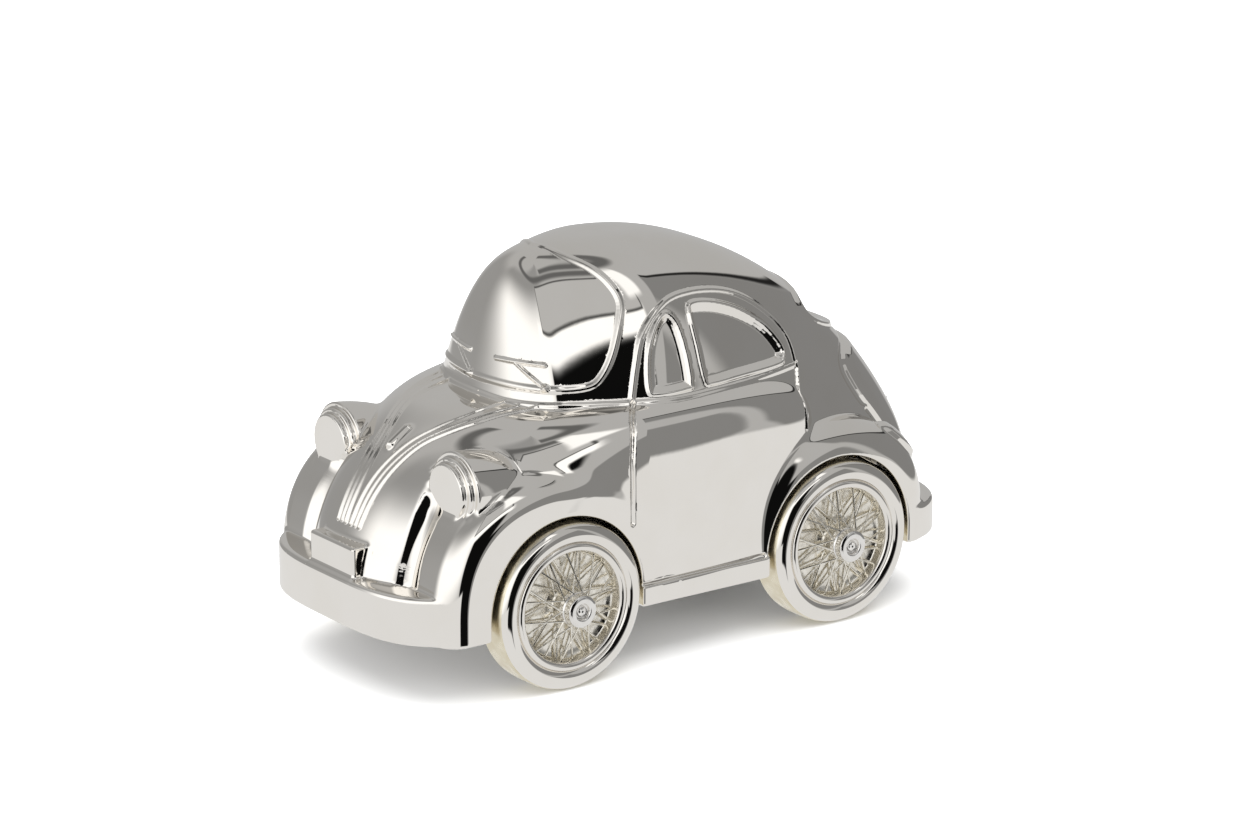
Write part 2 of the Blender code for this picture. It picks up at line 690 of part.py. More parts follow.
def make_case_half(name, side):
    """Half of the motor case: a tray with its open face on the middle plane."""
    start = GAP / 2
    middle = side * (CASE_HALF_WIDTH + start) / 2
    upright = (pi / 2, 0.0, pi / 2)
    half = outline_object(name, [case_outline(CASE_WALL)], CASE_HALF_WIDTH - start)
    half = as_mesh(place(half, car, motor_plastic, (middle, 0.0, 0.0), upright))
    pocket = as_mesh(place(outline_object(name + "_pocket", [case_outline(0.0)],
                                          CASE_HALF_WIDTH - CASE_WALL), car, motor_plastic,
                           (side * (CASE_HALF_WIDTH - CASE_WALL) / 2, 0.0, 0.0), upright))
    parts.objects.unlink(pocket)
    cut_in_place(half, pocket)
    holes = ((REAR_Y, WHEEL_RADIUS, AXLE_RADIUS + RUNNING_GAP), (IDLER_Y, IDLER_Z, 1.1),
             (BARREL_Y, BARREL_Z, 1.8))
    for i, (y, z, radius) in enumerate(holes):
        hole = cylinder_object("%s_hole_%d" % (name, i), hole_radius(radius, 20),
                               -CASE_HALF_WIDTH - 1.0, CASE_HALF_WIDTH + 1.0, 20)
        cut(half, hole, None, (0.0, y, z), ALONG_X)
    under = box_object(name + "_under", (-20.0, -20.0, -5.0), (20.0, 20.0, 0.0))
    cut(half, under, None, (0.0, REAR_Y, PLATE_BOTTOM + 0.2))


def cut_in_place(obj, cutter):
    """Take away a cutter that already stands where it cuts."""
    cutters.objects.link(cutter)
    cutter.display_type = "WIRE"
    cutter.hide_render = True
    boolean = obj.modifiers.new(cutter.name, "BOOLEAN")
    boolean.solver = "EXACT"
    boolean.object = cutter


def make_motor():
    make_case_half("motor_case_left", 1)
    make_case_half("motor_case_right", -1)

    idler = new_empty("idler_pivot", IDLER_Y, IDLER_Z, car)
    to_axle = atan2(WHEEL_RADIUS - IDLER_Z, REAR_Y - IDLER_Y)
    wheel_phase = mesh_phase(IDLER_TEETH, to_axle, PINION_TEETH, 0.0)
    make_gear("idler_wheel", IDLER_TEETH, 1.1, STAGE_ONE, idler, wheel_phase)
    make_gear("idler_pinion", PINION_TEETH, 1.1, STAGE_TWO, idler, 0.0)
    shaft = [(0.0, CASE_HALF_WIDTH), (1.0, CASE_HALF_WIDTH), (1.0, -CASE_HALF_WIDTH),
             (0.0, -CASE_HALF_WIDTH)]
    place(turned_object("idler_shaft", shaft, 16), idler, steel, rotation=ALONG_X)

    barrel = new_empty("barrel_pivot", BARREL_Y, BARREL_Z, car)
    to_idler = atan2(IDLER_Z - BARREL_Z, IDLER_Y - BARREL_Y)
    gear_phase = mesh_phase(BARREL_TEETH, to_idler, PINION_TEETH, 0.0)
    make_gear("barrel_gear", BARREL_TEETH, 2.2, STAGE_TWO, barrel, gear_phase)
    drum = [(2.2, DRUM[0] + 1.0), (DRUM_RADIUS - 0.8, DRUM[0] + 1.0), (DRUM_RADIUS - 0.8, DRUM[1]),
            (DRUM_RADIUS, DRUM[1]), (DRUM_RADIUS, DRUM[0]), (2.2, DRUM[0])]
    place(turned_object("spring_drum", drum, 28), barrel, brass, rotation=ALONG_X)
    width = DRUM[1] - DRUM[0] - 1.0 - 2 * GAP
    spring = outline_object("mainspring", [spring_outline(4.0, 2.8, 7.1, 0.3, 18)], width)
    place(spring, barrel, steel, (DRUM[1] - GAP - width / 2, 0.0, 0.0), (pi / 2, 0.0, pi / 2))
    arbor = [(0.0, CASE_HALF_WIDTH), (1.7, CASE_HALF_WIDTH), (1.7, -CASE_HALF_WIDTH),
             (0.0, -CASE_HALF_WIDTH)]
    place(turned_object("barrel_arbor", arbor, 16), car, steel, (0.0, BARREL_Y, BARREL_Z), ALONG_X)


# ---- Build ------------------------------------------------------------------------------
clear_scene()
parts = new_collection("pull_back_car")
cutters = new_collection("cutters")
chrome = new_material("polished_plate", (0.80, 0.78, 0.75), 1.0, 0.06)
satin = new_material("satin_plate", (0.78, 0.75, 0.68), 1.0, 0.28)
zinc = new_material("zinc_plate", (0.62, 0.61, 0.59), 1.0, 0.35)
steel = new_material("steel", (0.56, 0.56, 0.57), 1.0, 0.25)
brass = new_material("brass", (0.80, 0.62, 0.30), 1.0, 0.30)
motor_plastic = new_material("motor_plastic", (0.06, 0.06, 0.065), 0.0, 0.45)

car = new_empty("car", MIDDLE_SHIFT, 0.0)
make_body()
make_base_plate()
make_screws()
make_running_gear()
make_motor()
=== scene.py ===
"""Looks of the pull-back car: the polished casting with its relief, spoked wheels, and a studio.

The casting is one smooth form, described by functions in millimetres: x from the middle, y from
half-way between the axles (towards the tail), z above the ground. It is meshed with a surface
net, and the fine relief (mouldings, window frames, door lines) is then pressed into the skin.
"""
import math

import bmesh
import bpy
import numpy as np
from mathutils import Matrix, Vector


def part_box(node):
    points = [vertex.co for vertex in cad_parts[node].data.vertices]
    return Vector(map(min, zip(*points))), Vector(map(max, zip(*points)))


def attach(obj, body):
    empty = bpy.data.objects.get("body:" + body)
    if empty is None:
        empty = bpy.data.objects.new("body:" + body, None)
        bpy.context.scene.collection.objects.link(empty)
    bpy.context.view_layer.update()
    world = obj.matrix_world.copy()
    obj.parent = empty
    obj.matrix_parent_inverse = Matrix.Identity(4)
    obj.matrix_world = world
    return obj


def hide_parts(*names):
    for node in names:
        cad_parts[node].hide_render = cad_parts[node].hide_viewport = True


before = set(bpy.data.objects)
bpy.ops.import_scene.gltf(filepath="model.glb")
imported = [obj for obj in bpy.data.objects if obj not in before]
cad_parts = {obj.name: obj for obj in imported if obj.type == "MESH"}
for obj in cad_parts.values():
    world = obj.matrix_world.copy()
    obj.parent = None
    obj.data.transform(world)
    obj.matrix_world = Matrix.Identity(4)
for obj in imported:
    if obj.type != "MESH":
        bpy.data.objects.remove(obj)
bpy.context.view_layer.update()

MM = 0.001

# ---- Places and sizes that come from the frame, in millimetres ---------------------------
FRONT_LOW, FRONT_HIGH = (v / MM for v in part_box("tyre_front_left"))
REAR_LOW, REAR_HIGH = (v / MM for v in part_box("tyre_rear_left"))
BODY_LOW, BODY_HIGH = (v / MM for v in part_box("body_shell"))
PLATE_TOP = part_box("base_plate")[1].z / MM
WHEEL_RADIUS = (FRONT_HIGH.z - FRONT_LOW.z) / 2
AXLE_Z = (FRONT_HIGH.z + FRONT_LOW.z) / 2
FRAME_MIDDLE = (FRONT_LOW.y + FRONT_HIGH.y + REAR_LOW.y + REAR_HIGH.y) / 4
REAR_AXLE = (REAR_LOW.y + REAR_HIGH.y) / 2 - FRAME_MIDDLE
FRONT_AXLE = -REAR_AXLE
TYRE_INNER_X, TYRE_OUTER_X = FRONT_LOW.x, FRONT_HIGH.x
BOTTOM = BODY_LOW.z

# ---- The casting's form -------------------------------------------------------------------
# A separate script fitted most of these to outlines picked in the photograph
ROOF = BODY_HIGH.z + 0.1
ROOF_PEAK_Y = -7.5              # where the roof is highest
SCREEN_END_Y = -27.0            # round in plan up to here
DOOR_START_Y = -4.0             # and full width from here
SCREEN_LENGTH = 27.05
SCREEN_BULGE = 0.058            # shares of the third and the eighth power in its curve
SCREEN_DROP = 0.312
SCREEN_HALF_WIDTH = 30.9
DOOR_HALF_WIDTH = 33.3
DOOR_FLARE = 0.039              # how much the section widens with its height
CABIN_BASE = 20.0
CABIN_POWER = 1.27
TAIL_LENGTH = 83.9
TAIL_POWER = 2.155
TAIL_END_Y = 69.0
HOOD_TOP = 56.9
HOOD_BASE = 14.0
HOOD_HALF_WIDTH = 33.4
HOOD_FRONT_Y = -30.0            # from here the hood curves down to the nose
HOOD_LENGTH = 42.0
HOOD_POWER = 2.3
NOSE_Y = -62.0                  # the section is roundest here
NOSE_POWER = 2.275
SQUARE_LENGTH = 47.0            # and squarest this far behind
SQUARE_GAIN = 7.7
SQUARE_RATE = 2.2
SHOULDER_Y = (-45.0, -10.0)     # the hood's width goes over to the doors' between these
DOORS_LENGTH = 45.0
WING_POWER = 2.4
#                 ahead behind  top  middle half  edge
FRONT_WING = (30.4, 24.6, 28.6, 23.2, 10.0, 5.6)
REAR_WING = (23.6, 26.8, 25.6, 24.5, 9.5, 7.5)
#              half width, reach, power of the plan, top, edge radius
FRONT_BUMPER = (33.7, 38.3, 3.6, 24.4, 1.6)
REAR_BUMPER = (34.8, 35.4, 4.1, 22.2, 2.6)
BUMPER_START = 57.0
SILL_HALF_WIDTH = 33.7
SILL_WIDENING = 0.5
SILL_TOP = 18.9
SILL_HALF_LENGTH = 40.0
WELL_RADIUS = 19.1
WELL_INNER_X = 23.5
ARCH_WALL = 1.5                 # thickness of the flange round each wheel opening
POD_X = 21.8
POD_Y = -59.0
POD_Z = 44.4
FACE_RADIUS = 6.1
RING_RADIUS = 7.2
POD_RADIUS = 8.5
POD_LENGTH = 20.6
POD_DROP = 1.5                  # how much lower the pod's tip is than its face
RING_STEP = 1.3                 # each ring of a headlamp stands this far behind the last
# Blank plates as centre and half size; handles as two ends and a radius
FRONT_PLATE = ((0.0, -68.4, 25.7), (8.2, 4.6, 5.5))
REAR_PLATE = ((0.0, 66.0, 34.4), (8.5, 4.2, 4.6))
PLATE_EDGE = 0.7
HOOD_HANDLE = ((0.0, -57.8, 49.2), (0.0, -53.8, 51.9), 1.0)
LID_HANDLE = ((0.0, 61.6, 45.6), (0.0, 63.4, 42.4), 1.5)
WALL = 2.4
POSTS = ((13.0, -58.0), (13.0, 57.0))
POST_RADIUS = 3.6
GAP = 0.3


def smooth_step(low, high, value):
    t = np.clip((value - low) / (high - low), 0.0, 1.0)
    return t * t * (3.0 - 2.0 * t)


def smooth_min(a, b, radius):
    h = np.maximum(radius - np.abs(a - b), 0.0) / radius
    return np.minimum(a, b) - h * h * h * radius / 6.0


def smooth_max(a, b, radius):
    return -smooth_min(-a, -b, radius)


def as_distance(shape, x, y, z):
    """Scale a form so that it measures about true distance near its surface."""
    step = 0.05
    here = shape(x, y, z)
    slope_x = (shape(x + step, y, z) - here) / step
    slope_y = (shape(x, y + step, z) - here) / step
    slope_z = (shape(x, y, z + step) - here) / step
    return here / np.maximum(np.sqrt(slope_x ** 2 + slope_y ** 2 + slope_z ** 2), 1e-4)


def cabin(x, y, z):
    """Windscreen, roof and tail as one dome that grows squarer towards the doors."""
    side = smooth_step(SCREEN_END_Y, DOOR_START_Y, y)
    flare = DOOR_HALF_WIDTH + DOOR_FLARE * (z - CABIN_BASE)
    width = SCREEN_HALF_WIDTH * (1.0 - side) + flare * side
    ahead = np.maximum(ROOF_PEAK_Y - y, 0.0) / SCREEN_LENGTH
    behind = np.maximum(y - ROOF_PEAK_Y, 0.0) / TAIL_LENGTH
    rise = np.maximum(z - CABIN_BASE, 0.0) / (ROOF - CABIN_BASE)
    across = (np.abs(x) / width) ** (2.0 + side)
    front = SCREEN_BULGE * ahead ** 3 + SCREEN_DROP * ahead ** 8
    return across + front + behind ** TAIL_POWER + rise ** CABIN_POWER - 1.0


def hood(x, y, z):
    """Hood, shoulders and doors: round at the nose, square at the doors."""
    back = np.clip((y - NOSE_Y) / SQUARE_LENGTH, 0.0, 1.0)
    power = NOSE_POWER + SQUARE_GAIN * back ** SQUARE_RATE
    spread = smooth_step(*SHOULDER_Y, y)
    width = HOOD_HALF_WIDTH + (DOOR_HALF_WIDTH - HOOD_HALF_WIDTH) * spread
    ahead = np.maximum(HOOD_FRONT_Y - y, 0.0) / HOOD_LENGTH
    behind = np.maximum(y - SHOULDER_Y[1], 0.0) / DOORS_LENGTH
    rise = np.maximum(z - HOOD_BASE, 0.0) / (HOOD_TOP - HOOD_BASE)
    across = (np.abs(x) / width) ** power
    return across + ahead ** HOOD_POWER + behind ** 4 + rise ** power - 1.0


def wing(x, y, z, axle_y, spec):
    """Rounded slab over a wheel, unequal in front of it and behind."""
    ahead, behind, top, middle, half, edge = spec
    along = np.abs(y - axle_y)
    reach = np.where(y < axle_y, ahead, behind)
    up = np.maximum(z - AXLE_Z, 0.0)
    ratio = ((along / reach) ** WING_POWER + (up / top) ** WING_POWER) ** (1.0 / WING_POWER)
    ratio = np.maximum(ratio, 1e-3)
    radial = (ratio - 1.0) * np.sqrt(along ** 2 + up ** 2) / ratio
    radial = np.where(ratio < 2e-3, -top, radial)
    side = np.abs(np.abs(x) - middle) - half
    a = np.maximum(radial + edge, 0.0)
    b = np.maximum(side + edge, 0.0)
    return np.sqrt(a * a + b * b) + np.minimum(np.maximum(radial, side) + edge, 0.0) - edge


def bumper(x, y, z, axle_y, turn, spec):
    """Skirt that wraps one end of the car; turn is -1 at the front and 1 at the rear."""
    half, reach, power, top, edge = spec
    along = np.maximum(turn * (y - axle_y), 0.0) / reach
    plan = ((np.abs(x) / half) ** power + along ** power) ** (1.0 / power)
    slab = smooth_max((plan - 1.0) * half, z - top, edge)
    return smooth_max(slab, BUMPER_START - turn * y, 1.0)


def sill(x, y, z):
    width = SILL_HALF_WIDTH + SILL_WIDENING * smooth_step(-15.0, 16.0, y)
    bar = smooth_max(np.abs(x) - width, z - SILL_TOP, 1.2)
    return smooth_max(bar, np.abs(y) - SILL_HALF_LENGTH, 1.0)


def headlamp(x, y, z):
    """Flat lens, two stepped rings, and a bullet-shaped pod that sinks into the wing."""
    back = np.clip((y - POD_Y) / POD_LENGTH, 0.0, 1.0)
    radius = np.sqrt((np.abs(x) - POD_X) ** 2 + (z - POD_Z + POD_DROP * back) ** 2)
    pod = radius - POD_RADIUS * np.sqrt(np.maximum(1.0 - back ** 2.4, 0.0))
    d = smooth_max(pod, POD_Y + 2 * RING_STEP - y, 0.8)
    for size, start in ((RING_RADIUS, POD_Y + RING_STEP), (FACE_RADIUS, POD_Y)):
        disc = smooth_max(radius - size, np.abs(y - start - 4.0) - 4.0, 0.8)
        d = smooth_min(d, disc, 0.6)
    return d


def block(x, y, z, centre, half, edge):
    """Box with rounded edges."""
    dx = np.abs(x - centre[0]) - half[0] + edge
    dy = np.abs(y - centre[1]) - half[1] + edge
    dz = np.abs(z - centre[2]) - half[2] + edge
    outer = np.sqrt(np.maximum(dx, 0) ** 2 + np.maximum(dy, 0) ** 2 + np.maximum(dz, 0) ** 2)
    return outer + np.minimum(np.maximum(np.maximum(dx, dy), dz), 0.0) - edge


def rod(x, y, z, start, end, radius):
    """Round-ended rod between two points."""
    start, along = np.array(start, float), np.subtract(end, start)
    px, py, pz = x - start[0], y - start[1], z - start[2]
    t = (px * along[0] + py * along[1] + pz * along[2]) / (along @ along)
    t = np.clip(t, 0.0, 1.0)
    return np.sqrt((px - t * along[0]) ** 2 + (py - t * along[1]) ** 2
                   + (pz - t * along[2]) ** 2) - radius


def main_form(x, y, z):
    """Body, wings, sills and bumpers as solid forms that run on below the floor."""
    tail = smooth_max(as_distance(cabin, x, y, z), y - TAIL_END_Y, 6.0)
    d = smooth_min(tail, as_distance(hood, x, y, z), 2.0)
    d = smooth_min(d, wing(x, y, z, FRONT_AXLE, FRONT_WING), 2.0)
    d = smooth_min(d, wing(x, y, z, REAR_AXLE, REAR_WING), 2.0)
    d = smooth_min(d, sill(x, y, z), 1.2)
    d = smooth_min(d, bumper(x, y, z, FRONT_AXLE, -1, FRONT_BUMPER), 1.0)
    return smooth_min(d, bumper(x, y, z, REAR_AXLE, 1, REAR_BUMPER), 1.0)


def fittings(x, y, z):
    """Everything that stands proud of the main form."""
    d = headlamp(x, y, z)
    for centre, half in (FRONT_PLATE, REAR_PLATE):
        d = np.minimum(d, block(x, y, z, centre, half, PLATE_EDGE))
    for start, end, radius in (HOOD_HANDLE, LID_HANDLE):
        d = np.minimum(d, rod(x, y, z, start, end, radius))
    return d


def wheel_wells(x, y, z):
    """Distance from the curved side of the nearest wheel opening."""
    d = 1e3
    for axle_y in (FRONT_AXLE, REAR_AXLE):
        radius = np.sqrt((y - axle_y) ** 2 + np.maximum(z - AXLE_Z, 0.0) ** 2)
        d = np.minimum(d, radius - WELL_RADIUS)
    return d


def posts(x, y, z):
    d = 1e3
    for px, py in POSTS:
        d = np.minimum(d, np.sqrt((np.abs(x) - px) ** 2 + (y - py) ** 2) - POST_RADIUS)
    return np.maximum(d, PLATE_TOP + GAP - z)


def casting(x, y, z):
    """The whole hollow casting; negative inside the metal."""
    main = main_form(x, y, z)
    d = smooth_min(main, fittings(x, y, z), 1.6)
    wells = wheel_wells(x, y, z)
    flange = np.maximum(wells - ARCH_WALL, WELL_INNER_X - np.abs(x))
    hollow = np.maximum(np.maximum(main + WALL, -posts(x, y, z)), -flange)
    d = smooth_max(d, -smooth_max(wells, WELL_INNER_X - np.abs(x), 0.9), 0.9)
    d = smooth_max(d, -hollow, 0.6)
    return smooth_max(d, BOTTOM - z, 0.9)


# ---- Meshing ------------------------------------------------------------------------------
STRIDE = 4                      # cells along each side of the blocks that are looked at first


def surface_net(field, low, high, cell):
    """Closed mesh of quads where the field is zero, which is negative inside."""
    low = np.array(low, float)
    count = np.ceil((np.array(high, float) - low) / cell).astype(int) + 1
    count = ((count + STRIDE - 1) // STRIDE) * STRIDE + 1
    axes = [low[i] + cell * np.arange(count[i]) for i in range(3)]
    coarse = field(*np.meshgrid(*[a[::STRIDE] for a in axes], indexing="ij"))
    blocks = np.array(coarse.shape) - 1
    corners = [(i, j, k) for i in (0, 1) for j in (0, 1) for k in (0, 1)]
    spans = [coarse[i:i + blocks[0], j:j + blocks[1], k:k + blocks[2]] for i, j, k in corners]
    spans = np.stack(spans)
    near = np.abs(spans).min(axis=0) < 1.9 * cell * STRIDE
    near |= (spans.min(axis=0) < 0.0) & (spans.max(axis=0) > 0.0)
    sign = np.where(coarse > 0.0, 10.0, -10.0).astype(np.float32)
    for axis in range(3):
        sign = np.repeat(sign, STRIDE, axis)
    volume = sign[:count[0], :count[1], :count[2]].copy()
    steps = np.arange(STRIDE + 1)
    offsets = np.stack(np.meshgrid(steps, steps, steps, indexing="ij"), -1).reshape(-1, 3)
    wanted = np.argwhere(near) * STRIDE
    for first in range(0, len(wanted), 20000):
        index = wanted[first:first + 20000, None, :] + offsets
        ix, iy, iz = index[..., 0], index[..., 1], index[..., 2]
        volume[ix, iy, iz] = field(axes[0][ix], axes[1][iy], axes[2][iz])

    inside = volume < 0.0
    cells = count - 1
    total = np.zeros(cells, np.int8)
    for i, j, k in corners:
        total += inside[i:i + cells[0], j:j + cells[1], k:k + cells[2]]
    active = (total > 0) & (total < 8)
    where = np.argwhere(active)
    number = np.full(active.shape, -1, np.int64)
    number[active] = np.arange(len(where))
    summed = np.zeros((len(where), 3))
    crossings = np.zeros(len(where))
    for start in corners:
        for axis in range(3):
            if start[axis]:
                continue
            end = list(start)
            end[axis] = 1
            a = volume[tuple((where + start).T)]
            b = volume[tuple((where + end).T)]
            crossed = (a < 0.0) != (b < 0.0)
            point = np.tile(np.array(start, float), (len(where), 1))
            point[:, axis] += np.where(crossed, a / np.where(crossed, a - b, 1.0), 0.0)
            summed[crossed] += point[crossed]
            crossings[crossed] += 1
    points = low + cell * (where + summed / crossings[:, None])

    faces = []
    for axis in range(3):
        u, v = (axis + 1) % 3, (axis + 2) % 3
        first, second = [slice(None)] * 3, [slice(None)] * 3
        first[axis] = slice(0, count[axis] - 1)
        second[axis] = slice(1, count[axis])
        a, b = inside[tuple(first)], inside[tuple(second)]
        for leaving in (True, False):
            edge = np.argwhere(a & ~b if leaving else ~a & b)
            ring = []
            for du, dv in ((-1, -1), (0, -1), (0, 0), (-1, 0)):
                corner = edge.copy()
                corner[:, u] += du
                corner[:, v] += dv
                ring.append(number[tuple(corner.T)])
            quad = np.stack(ring, 1)
            faces.append(quad if leaving else quad[:, ::-1])
    return points, np.concatenate(faces)


def gradient(field, points, step=0.02):
    slope = np.empty_like(points)
    for axis in range(3):
        shift = np.zeros(3)
        shift[axis] = step
        slope[:, axis] = (field(*(points + shift).T) - field(*(points - shift).T)) / (2 * step)
    return slope


def settle(field, points, cell):
    """Move points onto the surface; return them with the surface's unit normals."""
    slope = gradient(field, points)
    squared = np.maximum((slope * slope).sum(1), 1e-6)
    move = -slope * (field(*points.T) / squared)[:, None]
    length = np.maximum(np.linalg.norm(move, axis=1), 1e-9)
    points = points + move * np.minimum(1.0, 0.6 * cell / length)[:, None]
    return points, unit(gradient(field, points))


def unit(vectors):
    return vectors / np.maximum(np.linalg.norm(vectors, axis=1), 1e-9)[:, None]


# ---- Relief pressed into the skin ---------------------------------------------------------
def smooth_line(points, closed=False, pieces=5):
    """A curve through the points, as short straight pieces."""
    points = np.array(points, float)
    count = len(points)
    result = []
    for i in range(count if closed else count - 1):
        if closed:
            a, b, c, d = (points[(i + k) % count] for k in (-1, 0, 1, 2))
        else:
            a, b, c, d = (points[min(max(i + k, 0), count - 1)] for k in (-1, 0, 1, 2))
        for t in np.arange(pieces) / pieces:
            result.append(0.5 * (2 * b + (c - a) * t + (2 * a - 5 * b + 4 * c - d) * t ** 2
                                 + (3 * b - a - 3 * c + d) * t ** 3))
    result.append(result[0] if closed else points[-1])
    return np.array(result)


def line_distance(points, normals, line, reach):
    """Distance along the skin from each point to the line, no larger than the reach."""
    result = np.full(len(points), reach)
    low, high = line.min(0) - reach, line.max(0) + reach
    near = np.where(((points > low) & (points < high)).all(1))[0]
    if len(near) == 0:
        return result
    p, n = points[near], normals[near]
    best = np.full(len(near), reach * reach)
    for a, b in zip(line[:-1], line[1:]):
        along = b - a
        t = np.clip(((p - a) @ along) / max(along @ along, 1e-9), 0.0, 1.0)
        away = p - a - t[:, None] * along
        height = (away * n).sum(1)
        squared = (away * away).sum(1)
        flat = squared - np.minimum(height * height, 4.0)
        best = np.where(squared < 9.0 + flat, np.minimum(best, flat), best)
    result[near] = np.sqrt(np.maximum(best, 0.0))
    return result


def bead(distance, half_width):
    """Rounded ridge of height 1."""
    return np.where(distance < half_width, 0.5 + 0.5 * np.cos(math.pi * distance / half_width), 0.0)


def outline_depth(across, up, outline):
    """Signed distance inside a closed flat outline (positive inside)."""
    best = np.full(across.shape, 1e9)
    inside = np.zeros(across.shape, bool)
    for (ax, ay), (bx, by) in zip(outline[:-1], outline[1:]):
        dx, dy = bx - ax, by - ay
        t = np.clip(((across - ax) * dx + (up - ay) * dy) / max(dx * dx + dy * dy, 1e-9), 0.0, 1.0)
        best = np.minimum(best, (across - ax - t * dx) ** 2 + (up - ay - t * dy) ** 2)
        crosses = (ay > up) != (by > up)
        slope = dy if abs(dy) > 1e-9 else 1e-9
        inside ^= crosses & (across < ax + (up - ay) * dx / slope)
    return np.where(inside, 1.0, -1.0) * np.sqrt(best)


# Curves on the left half of the casting. A separate script found most of these points, by
# setting places picked in the photograph on the form; then they were rounded and adjusted
BELT = ((0.0, -36.3, 57.0), (6.6, -36.0, 57.0), (10.6, -35.3, 57.0), (15.4, -33.5, 57.2),
        (19.1, -30.9, 57.3), (21.8, -26.1, 57.2), (24.0, -20.4, 57.0), (26.4, -14.4, 56.8),
        (28.4, -4.5, 56.4), (28.1, 6.2, 56.4), (26.7, 19.5, 56.5), (24.4, 31.0, 57.0))
SCREEN = ((0.0, -35.8, 60.3), (9.6, -34.6, 60.5), (16.3, -32.2, 60.6), (20.2, -27.8, 60.4),
          (22.0, -22.0, 60.6), (22.3, -19.0, 62.6), (21.8, -16.1, 66.7), (20.4, -13.4, 72.6),
          (18.8, -12.0, 76.8), (15.8, -12.7, 80.1), (12.1, -14.9, 83.0), (7.4, -18.4, 85.3),
          (0.0, -21.2, 86.4))
DOOR_TOP = ((26.2, -14.4, 56.8), (24.5, -12.0, 64.2), (22.8, -9.0, 70.4), (21.0, -2.2, 75.4),
            (20.1, 5.7, 76.4), (19.5, 14.4, 75.0), (19.8, 21.2, 72.0), (21.0, 27.4, 66.9),
            (22.6, 30.4, 62.4), (24.4, 31.0, 57.0))
DOOR_FRONT = ((26.4, -14.2, 56.8), (29.6, -16.8, 54.9), (31.5, -17.9, 52.4), (32.9, -19.0, 46.8),
              (33.3, -19.2, 40.3), (33.5, -19.4, 33.0))
VALLEY = ((18.4, -68.0, 22.0), (18.4, -66.8, 27.0), (18.3, -65.6, 29.0), (18.2, -63.6, 33.3),
          (18.0, -61.4, 38.0), (17.4, -58.6, 42.6), (17.0, -54.6, 46.6))
DOOR_REAR = ((24.4, 31.0, 57.0), (27.2, 30.4, 52.6), (29.2, 29.9, 48.0), (30.4, 29.7, 44.0))
HOOD_INNER = ((0.9, -68.6, 34.1), (1.0, -68.2, 35.0), (1.3, -64.6, 41.4), (2.2, -60.7, 46.0),
              (4.2, -55.5, 50.4), (6.9, -50.5, 53.2), (8.9, -45.6, 54.9), (9.9, -41.0, 56.1),
              (10.3, -35.6, 57.0))
HOOD_MIDDLE = ((2.4, -68.5, 34.1), (2.5, -68.1, 35.0), (2.9, -64.6, 41.2), (3.9, -60.5, 46.1),
               (6.0, -55.3, 50.4), (8.9, -50.3, 53.1), (11.3, -45.0, 54.9), (12.9, -39.8, 56.1),
               (14.1, -34.2, 57.1))
HOOD_OUTER = ((3.9, -68.5, 34.1), (4.0, -68.0, 35.2), (4.5, -64.6, 41.0), (5.5, -60.3, 46.1),
              (7.3, -55.2, 50.3), (10.4, -50.0, 53.0), (13.4, -44.3, 54.9), (15.6, -38.2, 56.2),
              (17.6, -32.4, 57.1))
WIPERS = (((18.0, -30.8, 60.8), (10.8, -33.4, 65.4), (5.4, -34.4, 65.2), (16.7, -30.0, 65.4)),
          ((-2.4, -35.6, 60.4), (-9.6, -33.7, 65.6), (-14.2, -32.0, 65.4), (-3.6, -35.0, 65.2)))
SILL_LINE = ((33.8, -17.0, 18.8), (33.8, 0.0, 18.9), (34.0, 15.6, 19.0))
# Outlines of the windows, as (y, z) seen from the side
QUARTER_WINDOW = ((-9.7, 58.9), (-9.3, 63.2), (-7.8, 68.0), (-5.2, 71.8), (-2.4, 73.0),
                  (-0.7, 70.6), (0.0, 64.6), (-0.1, 59.0), (-1.2, 58.3), (-8.4, 58.3))
SIDE_WINDOW = ((4.4, 59.0), (3.9, 66.0), (3.9, 72.4), (5.2, 73.8), (11.0, 72.9), (17.5, 70.3),
               (23.6, 66.2), (27.2, 61.4), (26.9, 59.2), (25.0, 58.5), (14.0, 58.4), (6.0, 58.2))
# Outlines at the tail, as (x, z) seen from behind
REAR_WINDOW = ((0.0, 70.4), (8.0, 69.8), (14.2, 67.2), (16.2, 64.2), (14.2, 61.6), (8.0, 60.2),
               (0.0, 59.9), (-8.0, 60.2), (-14.2, 61.6), (-16.2, 64.2), (-14.2, 67.2), (-8.0, 69.8))
ENGINE_LID = ((0.0, 56.6), (12.0, 56.0), (18.6, 53.4), (20.6, 47.0), (20.4, 38.0), (19.4, 25.0),
              (-19.4, 25.0), (-20.4, 38.0), (-20.6, 47.0), (-18.6, 53.4), (-12.0, 56.0))
# Curve, height and half width of what stands proud; curve, depth and half width of grooves
RIDGES = ((BELT, 0.32, 0.95), (SCREEN, 0.34, 1.1), (DOOR_TOP, 0.4, 1.0),
          (HOOD_INNER, 0.5, 0.85), (HOOD_MIDDLE, 0.4, 0.8), (HOOD_OUTER, 0.5, 0.85))
GROOVES = ((DOOR_FRONT, 0.75, 0.8), (DOOR_REAR, 0.6, 0.8), (SILL_LINE, 0.6, 0.7))
VALLEY_DEPTH = 1.7
VALLEY_HALF_WIDTH = 3.6
SIDE_WINDOWS = ((QUARTER_WINDOW, 0.7), (SIDE_WINDOW, 0.9))      # with their depths
REAR_WINDOW_DEPTH = 2.2
LID_HEIGHT = 0.9
LOUVRES = 5
LOUVRE_PITCH = 1.9
LOWEST_LOUVRE = (47.0, 11.0)    # height and half length
LOUVRE_DEPTH = 0.55
WIPER_ARM = (0.5, 0.6)          # height and half width
WIPER_BLADE = (0.6, 0.7)
WIPER_BOSS = (0.7, 1.2)
